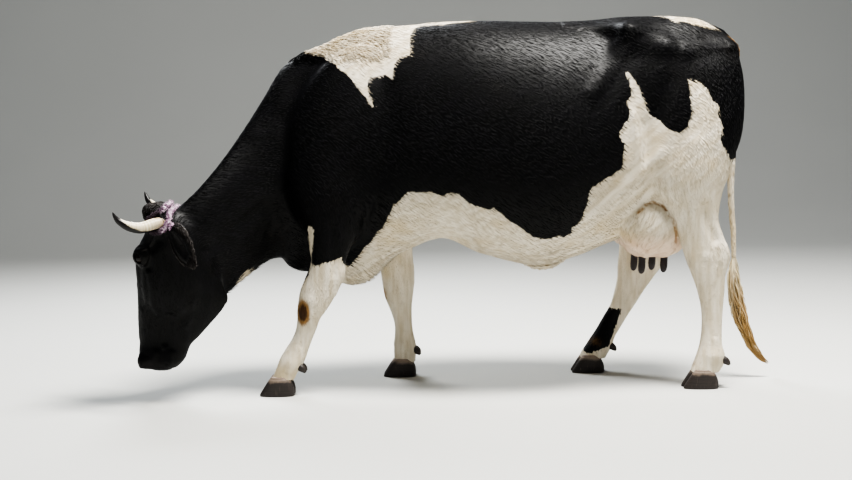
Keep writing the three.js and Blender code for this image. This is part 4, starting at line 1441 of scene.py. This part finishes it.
globe = eye_material()
for side, sign in (("left", 1), ("right", -1)):
    centre = in_head((sign * EYE["place"][0], *EYE["place"][1:]))[0]
    gaze = np.array([sign, 0.16, 0.1]) @ HEAD
    gaze /= np.linalg.norm(gaze)
    level = np.cross(gaze, (0, 0, 1.0))
    level /= np.linalg.norm(level)
    upright = np.cross(level, gaze)
    angles = np.linspace(0, math.pi, 34)
    rings, off_axis, pupil = [], [], []
    for angle in angles[1:-1]:
        bulge = 1.6 * math.exp(-((angle / 0.62) ** 4))  # the cornea stands out from the ball
        radius = EYE["radius"] - 0.6 + bulge
        turn = np.arange(48) * 2 * math.pi / 48
        sideways, upwards = np.sin(angle) * np.cos(turn), np.sin(angle) * np.sin(turn)
        rings.append(
            centre + radius * (
                math.cos(angle) * gaze + np.outer(sideways, level) + np.outer(upwards, upright)
            )
        )
        off_axis += [math.sin(angle) if angle < math.pi / 2 else 1.0] * 48
        pupil += list(np.hypot(sideways / 0.42, upwards / 0.2) + 4 * (angle > 1.5))
    vertices, faces = outward(*loft(rings))
    eye = mesh_object(side + "_eyeball", to_frame(vertices), faces)
    set_attribute(eye, "off_axis", off_axis + [0, 1])
    set_attribute(eye, "pupil", pupil + [0, 4])
    dress(eye, globe, "eye", side + "_eye")

# ---------- the rope round the horns ----------


def tree_with(name, inputs):
    """An empty Geometry Nodes tree with named inputs, each (name, kind of socket, value)."""
    tree = bpy.data.node_groups.new(name, "GeometryNodeTree")
    tree.interface.new_socket("Geometry", in_out="INPUT", socket_type="NodeSocketGeometry")
    for label, kind, value in inputs:
        socket = tree.interface.new_socket(label, in_out="INPUT", socket_type="NodeSocket" + kind)
        if value is not None:
            socket.default_value = value
    tree.interface.new_socket("Geometry", in_out="OUTPUT", socket_type="NodeSocketGeometry")
    return tree, tree.nodes.new("NodeGroupInput")


def grown(name, source, tree, values):
    """The result of a tree on a source object, as a plain mesh object. The source is removed."""
    modifier = source.modifiers.new("grow", "NODES")
    modifier.node_group = tree
    sockets = {item.name: item.identifier for item in tree.interface.items_tree if item.in_out == "INPUT"}
    for label, value in values.items():
        modifier[sockets[label]] = value
    bpy.context.view_layer.update()
    evaluated = source.evaluated_get(bpy.context.evaluated_depsgraph_get())
    mesh = bpy.data.meshes.new_from_object(evaluated, preserve_all_data_layers=True,
                                           depsgraph=bpy.context.evaluated_depsgraph_get())
    source.modifiers.clear()
    mesh.name = name
    piece = bpy.data.objects.new(name, mesh)
    bpy.context.scene.collection.objects.link(piece)
    bpy.data.objects.remove(source)
    return piece


def curve_object(name, points, closed):
    curve = bpy.data.curves.new(name, "CURVE")
    curve.dimensions = "3D"
    spline = curve.splines.new("POLY")
    spline.points.add(len(points) - 1)
    spline.points.foreach_set("co", np.column_stack([to_frame(points), np.ones(len(points))]).ravel())
    spline.use_cyclic_u = closed
    piece = bpy.data.objects.new(name, curve)
    bpy.context.scene.collection.objects.link(piece)
    return piece


def laid_rope_tree():
    """Three strands laid round each other along a curve."""
    tree, given = tree_with("laid_rope", [
        ("Radius", "Float", 0.009), ("Turns", "Float", 30.0), ("Steps", "Int", 400),
        ("Material", "Material", None),
    ])
    profile = []
    for k in range(3):
        strand = add(tree, "GeometryNodeCurvePrimitiveCircle", {"Resolution": 10})
        size = add(tree, "ShaderNodeMath", {0: given.outputs["Radius"], 1: 0.54}, operation="MULTIPLY")
        tree.links.new(size.outputs[0], strand.inputs["Radius"])
        angle = 2 * math.pi * k / 3
        push = add(tree, "ShaderNodeVectorMath", {0: (math.cos(angle) * 0.5, math.sin(angle) * 0.5, 0)},
                   operation="SCALE")
        tree.links.new(given.outputs["Radius"], push.inputs["Scale"])
        moved = add(
            tree, "GeometryNodeTransform", {"Geometry": strand.outputs[0], "Translation": push.outputs[0]}
        )
        profile.append(moved.outputs[0])
    joined = tree.nodes.new("GeometryNodeJoinGeometry")
    for strand in profile:
        tree.links.new(strand, joined.inputs[0])
    even = add(
        tree,
        "GeometryNodeResampleCurve",
        {"Curve": given.outputs["Geometry"], "Count": given.outputs["Steps"]},
    )
    share = add(tree, "GeometryNodeSplineParameter").outputs["Factor"]
    turns = add(tree, "ShaderNodeMath", {0: given.outputs["Turns"], 1: 2 * math.pi}, operation="MULTIPLY")
    tilt = add(tree, "ShaderNodeMath", {0: share, 1: turns.outputs[0]}, operation="MULTIPLY")
    twisted = add(tree, "GeometryNodeSetCurveTilt", {"Curve": even.outputs[0], "Tilt": tilt.outputs[0]})
    mesh = add(tree, "GeometryNodeCurveToMesh",
               {"Curve": twisted.outputs[0], "Profile Curve": joined.outputs[0], "Fill Caps": True})
    smooth = add(tree, "GeometryNodeSetShadeSmooth", {"Geometry": mesh.outputs[0]})
    done = add(tree, "GeometryNodeRealizeInstances", {"Geometry": smooth.outputs[0]})
    done = add(
        tree, "GeometryNodeSetMaterial", {"Geometry": done.outputs[0], "Material": given.outputs["Material"]}
    )
    add(tree, "NodeGroupOutput", {0: done.outputs[0]})
    return tree


# where the painted shade on the front of the rope ends
ROPE_SHADE_BEFORE = to_frame(in_head((80, -62, 20)))[0, 0]


def rope_material():
    """Twisted synthetic cord, faded by sun and rubbed to fluff: dull purple-pink with pale worn fibres."""
    material, tree, shader = new_material("worn_cord", {
        "Roughness": 0.85, "Sheen Weight": 0.4, "Sheen Roughness": 0.5, "Sheen Tint": colour("#f0d8e8"),
    })
    place = add(tree, "place")
    worn = add(tree, "noise", place, 95.0, 4.0)
    forward = add(tree, "ShaderNodeSeparateXYZ", {0: place}).outputs["X"]
    fibre = add(tree, "noise", place, 900.0, 2.0)
    base = add(tree, "mix", add(tree, "step", worn, 0.38, 0.56), "#3c1c37", "#b98bb0")
    base = add(tree, "mix", add(tree, "step", worn, 0.48, 0.6), base, "#eedfe8")
    base = add(tree, "mix", add(tree, "step", fibre, 0.5, 0.75), base, "#dcc2d4")
    # painted shade: the front of the loop, under the horns and the forelock, is darkened
    base = add(
        tree, "mix", add(tree, "step", forward, ROPE_SHADE_BEFORE + 0.012, ROPE_SHADE_BEFORE - 0.01), base, "#2a1a26"
    )
    tree.links.new(base, shader.inputs["Base Color"])
    tree.links.new(add(tree, "bump", fibre, 0.6, 0.001), shader.inputs["Normal"])
    return material


cord_finish = rope_material()
rope_tree = laid_rope_tree()
half = ROPE_HALF + [(-a, o, t) for a, o, t in reversed(ROPE_HALF[1:-1])]
loop = smooth_path(in_head(half + half[:1]), 96)[:-1]
rope = grown("horn_rope_band", curve_object("rope_line", loop, True), rope_tree,
             {"Radius": 0.0088, "Turns": 21.0, "Steps": 360, "Material": cord_finish})
knot_turn = np.linspace(0, 2 * math.pi, 61)[:-1]
knot = np.stack([
    9 * (np.sin(knot_turn) + 0.9 * np.sin(2 * knot_turn)),
    11 * (np.cos(knot_turn) - 0.9 * np.cos(2 * knot_turn)),
    -8 * np.sin(3 * knot_turn),
], 1)
knot = in_head(knot + np.array(ROPE_KNOT))
tie = grown("horn_rope_knot", curve_object("knot_line", knot, True), rope_tree,
            {"Radius": 0.0068, "Turns": 8.0, "Steps": 160, "Material": cord_finish})
for piece in (rope, tie):
    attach(piece, "root")
    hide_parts("horn_rope")

# ---------- the coat: tufts over the hide ----------

PATCH = 0.003  # width of one tuft's patch of the OFBake map


def tuft_object(name, rows):
    """A closed lock of hair along X, from sections (x, y, z, half width, depth); the last is its tip."""
    vertices, patch = [], []
    for x, y, z, half, depth in rows[:-1]:
        vertices += [(x, y - half, z), (x, y + half, z), (x, y, z + depth)]
        patch += [(x, 0, 0), (x, 1, 0), (x, 0.5, 0)]
    vertices.append(rows[-1][:3])
    patch.append((rows[-1][0], 0.5, 0))
    tip = len(vertices) - 1
    faces = [[0, 2, 1]]
    for i in range(0, tip - 3, 3):
        faces += [[i + a, i + b, i + b + 3, i + a + 3] for a, b in ((0, 1), (1, 2), (2, 0))]
    faces += [[tip - 3 + a, tip - 3 + b, tip] for a, b in ((0, 1), (1, 2), (2, 0))]
    vertices, faces = outward(np.array(vertices, float), faces)
    piece = mesh_object(name, vertices, faces)
    set_attribute(piece, "patch", patch, "FLOAT_VECTOR")
    return piece


def tufts_tree():
    """Tufts on a surface, along its lie, each with its own patch of the OFBake map at its root's place."""
    tree, given = tree_with("tufts", [
        ("Tuft", "Object", None), ("Density", "Float", 9000.0), ("Length", "Float", 0.02),
        ("Width", "Float", 0.004), ("Lift", "Float", 0.004), ("Spread", "Float", 0.25), ("Seed", "Int", 1),
        ("Material", "Material", None),
    ])

    def named(name, kind="FLOAT"):
        return add(
            tree, "GeometryNodeInputNamedAttribute", {"Name": name}, data_type=kind
        ).outputs["Attribute"]

    density = add(
        tree, "ShaderNodeMath", {0: given.outputs["Density"], 1: named("cover")}, operation="MULTIPLY"
    )
    roots = add(tree, "GeometryNodeDistributePointsOnFaces", {
        "Mesh": given.outputs["Geometry"], "Density": density.outputs[0], "Seed": given.outputs["Seed"]})
    stray = add(tree, "FunctionNodeRandomValue", {0: (-1, -1, -1), 1: (1, 1, 1), 8: given.outputs["Seed"]},
                data_type="FLOAT_VECTOR")
    stray = add(tree, "ShaderNodeVectorMath", {0: stray.outputs[0], "Scale": given.outputs["Spread"]},
                operation="SCALE")
    way = add(
        tree, "ShaderNodeVectorMath", {0: named("lie", "FLOAT_VECTOR"), 1: stray.outputs[0]}, operation="ADD"
    )
    turn = add(tree, "FunctionNodeAxesToRotation",
               {"Primary Axis": roots.outputs["Normal"], "Secondary Axis": way.outputs[0]},
               primary_axis="Z", secondary_axis="X")
    size = add(tree, "ShaderNodeCombineXYZ",
               {0: given.outputs["Length"], 1: given.outputs["Width"], 2: given.outputs["Lift"]})
    chance = add(
        tree, "FunctionNodeRandomValue", {2: 0.7, 3: 1.25, 8: given.outputs["Seed"]}, data_type="FLOAT"
    )
    share = add(tree, "ShaderNodeMath", {0: chance.outputs[1], 1: named("long")}, operation="MULTIPLY")
    size = add(
        tree, "ShaderNodeVectorMath", {0: size.outputs[0], "Scale": share.outputs[0]}, operation="SCALE"
    )
    model = add(tree, "GeometryNodeObjectInfo", {"Object": given.outputs["Tuft"]})
    placed = add(tree, "GeometryNodeInstanceOnPoints", {
        "Points": roots.outputs["Points"], "Instance": model.outputs["Geometry"],
        "Rotation": turn.outputs[0], "Scale": size.outputs[0]})
    real = add(tree, "GeometryNodeRealizeInstances", {"Geometry": placed.outputs[0]})
    patch = add(
        tree, "ShaderNodeVectorMath", {0: named("patch", "FLOAT_VECTOR"), "Scale": PATCH}, operation="SCALE"
    )
    place = add(
        tree,
        "ShaderNodeVectorMath",
        {0: named("place", "FLOAT_VECTOR"), 1: patch.outputs[0]},
        operation="ADD",
    )
    done = add(tree, "GeometryNodeStoreNamedAttribute",
               {"Geometry": real.outputs[0], "Name": "OFBake", "Value": place.outputs[0]},
               data_type="FLOAT2", domain="CORNER")
    for name in ("place", "patch", "lie", "cover", "long"):
        done = add(tree, "GeometryNodeRemoveAttribute", {"Geometry": done.outputs[0], "Name": name})
    done = add(tree, "GeometryNodeSetShadeSmooth", {"Geometry": done.outputs[0]})
    done = add(
        tree, "GeometryNodeSetMaterial", {"Geometry": done.outputs[0], "Material": given.outputs["Material"]}
    )
    add(tree, "NodeGroupOutput", {0: done.outputs[0]})
    return tree


lie = lie_of(hide_vertices, nearness)
x, y, z = hide_vertices.T
legs_near = sum(nearness[name] for name in LEGS)
ears_near = nearness["left_ear"] + nearness["right_ear"]
down_face, over_face, across_face = ((hide_vertices - POLL) @ HEAD.T)[:, ::-1].T
poll = spots(hide_vertices, [
    (*in_head((0, -8, 0))[0], 66, 60, 44, 1.3), (*in_head((72, -16, 26))[0], 26, 30, 24, 1.2),
    (*in_head((-72, -16, 26))[0], 26, 30, 24, 1.2)])
crest = ease(x, -600, -520) * ease(x, -100, -180) * ease(z, 1280, 1350)
long = 1 - 0.3 * legs_near * ease(z, 900, 600) - 0.2 * legs_near * ease(z, 340, 240)
long += 0.35 * ease(z, 600, 520) * nearness["trunk"] + 0.5 * crest
long -= 0.5 * nearness["head"] * ease(down_face, 40, 120) + 0.2 * nearness["head"] * ease(down_face, 420, 560)
long -= 0.35 * ears_near
cover = (1 - np.clip(markings["bare"] * 1.6, 0, 1)) * (
    1 + 0.4 * legs_near + 0.3 * nearness["head"] + 0.5 * ears_near
)
cover *= 1 - ease(down_face, 590, 615) * nearness["head"]
growth = {"lie": lie, "cover": cover, "long": long}


def round_trunk(places):
    """Places by their turn round the trunk and their way along it: beside, above, along."""
    table = smooth_rows(SPINE)
    return (places[:, 1] - np.interp(places[:, 0], table[:, 0], table[:, 4]),
            places[:, 2] - np.interp(places[:, 0], table[:, 0], table[:, 3]), places[:, 0])


def round_leg(name):
    table = smooth_rows(LEGS[name])
    rear, front, middle = (np.interp(z, table[:, 0], table[:, k]) for k in (1, 2, 4))
    return y - middle, x - (rear + front) / 2, z


def round_ear(side):
    axes, root = ear_frame(side)
    across, over, along = axes @ (hide_vertices - root).T
    return over, across, along


around = {name: round_leg(name) for name in LEGS}
around.update({side + "_ear": round_ear(side) for side in SIDES})
around["head"] = (across_face, over_face + 40, down_face)
around["udder"] = (y, z - 640, x)
around["tail"] = (y, x - np.interp(-z, [-height for _, height in TAIL_DOCK], [at for at, _ in TAIL_DOCK]), z)
around["trunk"] = around["neck"] = round_trunk(hide_vertices)

LENGTHS_OF_TRUNK = {"shoulder": (-560, 40), "middle": (40, 640), "rear": (640, 1300)}
group_names = np.array(list(nearness))
owner = group_names[np.argmax(list(nearness.values()), axis=0)]


def region_of(corner):
    """Which coat piece and which way of unwrapping it a corner of the hide belongs to."""
    name = owner[corner]
    if name != "trunk":
        return name, name
    if x[corner] < LENGTHS_OF_TRUNK["shoulder"][0]:
        return "neck", "neck"
    side = "left" if y[corner] < 0 else "right"
    stretch = next(key for key, (_, end) in LENGTHS_OF_TRUNK.items() if x[corner] < end or key == "rear")
    return f"{side}_{stretch}", "trunk"


regions = {}
for face in hide_faces:
    name, body = region_of(face[0])
    beside = around[body][0][face[0]] > 0
    regions.setdefault((name, body), {}).setdefault(beside, []).append(face)


def carrier(name, halves, body, keep=None):
    """A copy of part of the hide to grow tufts on, with its markings, lie and place on a flat unwrap."""
    beside, above, along = around[body]
    corners, faces, places = [], [], []
    for half, chosen in halves.items():
        if keep is not None:
            chosen = [face for face in chosen if keep[face[0]]]
        if not chosen:
            continue
        used = np.unique(np.concatenate(chosen))
        index = dict(zip(used.tolist(), range(len(used))))
        start = sum(len(part) for part in corners)
        faces += [[start + index[c] for c in face] for face in chosen]
        corners.append(used)
        angle = np.arctan2(above[used], beside[used] * (1 if half else -1)) / math.pi + 0.5
        reach = np.ptp(along[used]) + 1
        places.append(np.stack([
            0.01 + 0.47 * np.clip(angle, 0, 1) + 0.5 * half,
            0.01 + 0.97 * (along[used] - along[used].min()) / reach,
            np.zeros(len(used)),
        ], 1))
    corners = np.concatenate(corners)
    piece = mesh_object(name, to_frame(hide_vertices[corners]), faces)
    for label, values in {**markings, **growth}.items():
        set_attribute(piece, label, values[corners], "FLOAT_VECTOR" if values.ndim == 2 else "FLOAT")
    set_attribute(piece, "place", np.concatenate(places), "FLOAT_VECTOR")
    return piece


tufts = tufts_tree()
coat_finish = coat_material("cattle_coat", False)
short_tuft = tuft_object("short_tuft", [
    (0, 0, -0.35, 0.28, 0.5), (0.45, 0.06, 0.35, 0.5, 0.5), (1, 0.02, 0.42, 0, 0)])
curled_tuft = tuft_object("curled_tuft", [
    (0, 0, -0.4, 0.35, 0.6), (0.25, 0.25, 0.5, 0.5, 0.7), (0.5, -0.15, 1.0, 0.45, 0.6),
    (0.72, -0.5, 0.8, 0.35, 0.5), (0.9, -0.1, 0.5, 0.2, 0.3), (1, 0.3, 0.45, 0, 0)])

seed = SEED
for (name, body), halves in sorted(regions.items()):
    seed += 1
    source = carrier("carrier_" + name, halves, body)
    dress_coat = grown("coat_" + name, source, tufts, {
        "Tuft": short_tuft, "Density": 12000.0, "Length": 0.024, "Width": 0.0021, "Lift": 0.0009,
        "Spread": 0.12, "Seed": seed, "Material": coat_finish})
    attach(dress_coat, "root")

every = {False: [], True: []}
for (name, body), halves in regions.items():
    for half, chosen in halves.items():
        every[half] += chosen
LONG_HAIR = {
    # piece: way of unwrapping, where it grows, density, length, width, lift, spread
    "poll_curls": ("head", poll, 60000.0, 0.022, 0.0028, 0.0045, 0.8),
    "left_ear_fringe": ("left_ear", ear_rim("left"), 70000.0, 0.018, 0.0017, 0.0035, 0.45),
    "right_ear_fringe": ("right_ear", ear_rim("right"), 70000.0, 0.018, 0.0017, 0.0035, 0.45),
    "withers_crest": ("trunk", crest, 11000.0, 0.03, 0.0035, 0.004, 0.3),
    "tail_head_hair": ("trunk", spots(hide_vertices, [BROWN_AND_CREASE_SHADE[2]]), 20000.0, 0.03, 0.0035, 0.005, 0.4),
    "navel_hair": (
        "trunk", spots(hide_vertices, [(470, 0, 480, 70, 40, 40, 1.2)]), 9000.0, 0.04, 0.006, 0.008, 0.4
    ),
}
for name, (body, where, density, length, width, lift, spread) in LONG_HAIR.items():
    seed += 1
    growth["cover"] = ease(where, 0.25, 0.7)
    growth["long"] = 0.6 + 0.5 * where
    source = carrier("carrier_" + name, every, body, where > 0.2)
    hair = grown(name, source, tufts, {
        "Tuft": curled_tuft, "Density": density, "Length": length, "Width": width, "Lift": lift,
        "Spread": spread, "Seed": seed, "Material": coat_finish})
    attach(hair, "root")

# ---------- fluff on the rope ----------

strand = np.empty(len(rope.data.vertices) * 3)
rope.data.vertices.foreach_get("co", strand)
strand = strand.reshape(-1, 3)
loop_places = to_frame(loop)
closest = np.argmin(((strand[:, None] - loop_places[None]) ** 2).sum(2), axis=1)
rubbed = rope.copy()
rubbed.data = rope.data.copy()
bpy.context.scene.collection.objects.link(rubbed)
way_along = np.roll(loop_places, -1, axis=0) - np.roll(loop_places, 1, axis=0)
for label, values in {
    "lie": way_along[closest] / np.linalg.norm(way_along[closest], axis=1)[:, None],
    "place": np.stack(
        [closest / len(loop_places) * 0.99, (strand[:, 2] * 31) % 0.99, np.zeros(len(strand))], 1
    ),
    "cover": np.ones(len(strand)),
    "long": np.ones(len(strand)),
}.items():
    set_attribute(rubbed, label, values, "FLOAT_VECTOR" if values.ndim == 2 else "FLOAT")
fluff = grown("horn_rope_fluff", rubbed, tufts, {
    "Tuft": curled_tuft, "Density": 42000.0, "Length": 0.0075, "Width": 0.0009, "Lift": 0.0026,
    "Spread": 1.1, "Seed": SEED, "Material": cord_finish})
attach(fluff, "root")
for model in (short_tuft, curled_tuft):
    bpy.data.objects.remove(model)

# ---------- the switch of the tail ----------


def tail_hair_material():
    """Coarse wavy tail hair: cream at the root, bleached by sun to straw and ginger lower down."""
    material, tree, shader = new_material("tail_hair", {
        "Roughness": 0.5, "Specular IOR Level": 0.4, "Sheen Weight": 0.15, "Sheen Tint": colour("#f0dcb0"),
    })
    along, lock = add(tree, "mark", attribute_name="along"), add(tree, "mark", attribute_name="lock")
    base = add(
        tree, "mix", add(tree, "step", add(tree, "sum", along, lock, 0.3), 0.2, 0.75), "#d3c8b0", "#ad8c5a"
    )
    base = add(tree, "mix", add(tree, "step", add(tree, "sum", along, lock, 0.5), 0.85, 1.3), base, "#83623d")
    base = add(tree, "mix", add(tree, "step", lock, 0.8, 0.95), base, "#efe2c2")
    tree.links.new(base, shader.inputs["Base Color"])
    return material


def switch_locks(count=230, sides=5, steps=15):
    """Wavy tapered locks round the tail's end, each leaving it lower than the last."""
    chance = np.random.default_rng(SEED)
    line = smooth_path([(at, 0, height) for at, height in SWITCH], 90)
    widths = np.interp(np.linspace(0, len(SWITCH) - 1, len(line)), range(len(SWITCH)), SWITCH_RADII)
    normals, binormals = path_frames(line)
    parts, along, lock, places = [], [], [], []
    for k in range(count):
        start = 0.62 * (k / count) ** 1.1
        end = min(start + chance.uniform(0.3, 0.5), chance.uniform(0.93, 1.0))
        share = np.linspace(0, 1, steps)
        station = (start + (end - start) * share) * (len(line) - 1)
        at = [np.interp(station, range(len(line)), line[:, axis]) for axis in range(3)]
        sideways = [np.stack([np.interp(station, range(len(line)), way[:, axis]) for axis in range(3)], 1)
                    for way in (normals, binormals)]
        reach = np.interp(station, range(len(line)), widths)
        angle = chance.uniform(0, 2 * math.pi) + 0.5 * np.sin(
            share * chance.uniform(2, 5) + chance.uniform(0, 6)
        )
        depth = chance.uniform(0.3, 0.93) * (0.25 + 0.75 * ease(share, 0, 0.3))
        wave = 1 + 0.09 * np.sin(share * chance.uniform(14, 24) + chance.uniform(0, 6))
        out = reach * depth * wave
        path = np.stack(at, 1) + sideways[0] * (out * np.cos(angle))[:, None]
        path = path + sideways[1] * (out * np.sin(angle))[:, None]
        thick = chance.uniform(2.2, 4.4) * np.interp(share, [0, 0.2, 0.7, 1], [0.7, 1, 0.75, 0.12])
        vertices, faces = outward(
            *loft(sweep(path, thick, sides, lambda s, turn: 1 + 0.35 * math.cos(2 * turn)))
        )
        parts.append((vertices, faces))
        along += [*np.repeat(start + (end - start) * share, sides), start, end]
        lock += [chance.uniform()] * len(vertices)
        corner = np.array([angle[0] / (2 * math.pi) % 1 * 0.98, start / 0.62 * 0.98])
        around_lock = np.tile(np.arange(sides) / sides, steps)
        flat = np.stack([np.repeat(share, sides), around_lock], 1) * PATCH
        places.append(np.vstack([corner + flat, corner, corner + PATCH]))
    return *merged(parts), along, lock, np.vstack(places)


vertices, faces, along, lock, places = switch_locks()
switch = mesh_object("tail_switch_locks", to_frame(vertices), faces)
set_attribute(switch, "along", along)
set_attribute(switch, "lock", lock)
corners = np.empty(len(switch.data.loops), int)
switch.data.loops.foreach_get("vertex_index", corners)
switch.data.uv_layers.new(name="OFBake").data.foreach_set("uv", places[corners].ravel().astype(np.float32))
dress(switch, tail_hair_material(), "switch_hair", "tail_switch")

# ---------- floor, light and camera ----------


def floor_material():
    """Matt pale studio paper, with the faint unevenness of a long roll."""
    material, tree, shader = new_material("studio_paper", {"Roughness": 0.9, "Specular IOR Level": 0.2})
    place = add(tree, "place")
    uneven = add(tree, "noise", place, 0.6, 2.0)
    tree.links.new(add(tree, "mix", uneven, "#c2c2be", "#c9c9c5"), shader.inputs["Base Color"])
    return material


def studio_floor():
    """A floor that curves up into a wall far behind the cow, in metres."""
    bend, radius, height = 7.0, 4.0, 10.0
    turn = np.linspace(0, math.pi / 2, 13)
    profile = [
        (-14, 0), *zip(bend + radius * np.sin(turn), radius - radius * np.cos(turn)), (bend + radius, height)
    ]
    vertices = [(side, along, up) for along, up in profile for side in (-18, 18)]
    faces = [[2 * i, 2 * i + 1, 2 * i + 3, 2 * i + 2] for i in range(len(profile) - 1)]
    floor = mesh_object("studio_floor", vertices, faces)
    floor.data.materials.append(floor_material())


def soft_box(name, place, aim, size, power, tint):
    light = bpy.data.lights.new(name, "AREA")
    light.size, light.energy, light.color = size, power, tint
    lamp = bpy.data.objects.new(name, light)
    bpy.context.scene.collection.objects.link(lamp)
    lamp.location = place
    lamp.rotation_euler = (Vector(aim) - Vector(place)).to_track_quat("-Z", "Y").to_euler()


studio_floor()
world = bpy.data.worlds.new("studio")
world.use_nodes = True
world.node_tree.nodes["Background"].inputs["Color"].default_value = (0.82, 0.9, 1.0, 1.0)
world.node_tree.nodes["Background"].inputs["Strength"].default_value = 0.2
bpy.context.scene.world = world
soft_box("key", (1.5, -0.9, 5.8), (0.1, 0, 0.9), 1.8, 860, (1.0, 0.98, 0.94))
soft_box("rim", (-1.5, 3.5, 4.2), (-0.4, 0, 1.0), 2.0, 260, (0.94, 0.97, 1.0))

# The camera stands beside the cow, as high as its shoulder, and looks a little down.
CAMERA_PLACE = (-0.129, -5.217, 0.96623)
FOCAL_PIXELS, PICTURE_WIDTH, SENSOR = 1300, 852, 36
LOOK_DOWN_PIXELS = 92.5  # how far the horizon lies above the picture's middle
ROLL = math.radians(1)


def set_camera():
    pitch = math.atan(LOOK_DOWN_PIXELS / FOCAL_PIXELS)
    forward = Vector((0, math.cos(pitch), -math.sin(pitch)))
    level, upright = Vector((1, 0, 0)), Vector((0, math.sin(pitch), math.cos(pitch)))
    right = level * math.cos(ROLL) - upright * math.sin(ROLL)
    up = upright * math.cos(ROLL) + level * math.sin(ROLL)
    camera = bpy.data.objects.new("camera", bpy.data.cameras.new("camera"))
    bpy.context.scene.collection.objects.link(camera)
    camera.data.sensor_width = SENSOR
    camera.data.lens = SENSOR * FOCAL_PIXELS / PICTURE_WIDTH
    turn = Matrix((right, up, -forward)).transposed().to_4x4()
    camera.matrix_world = Matrix.Translation(Vector(CAMERA_PLACE)) @ turn
    bpy.context.scene.camera = camera


set_camera()
bpy.context.scene.view_settings.look = "AgX - High Contrast"
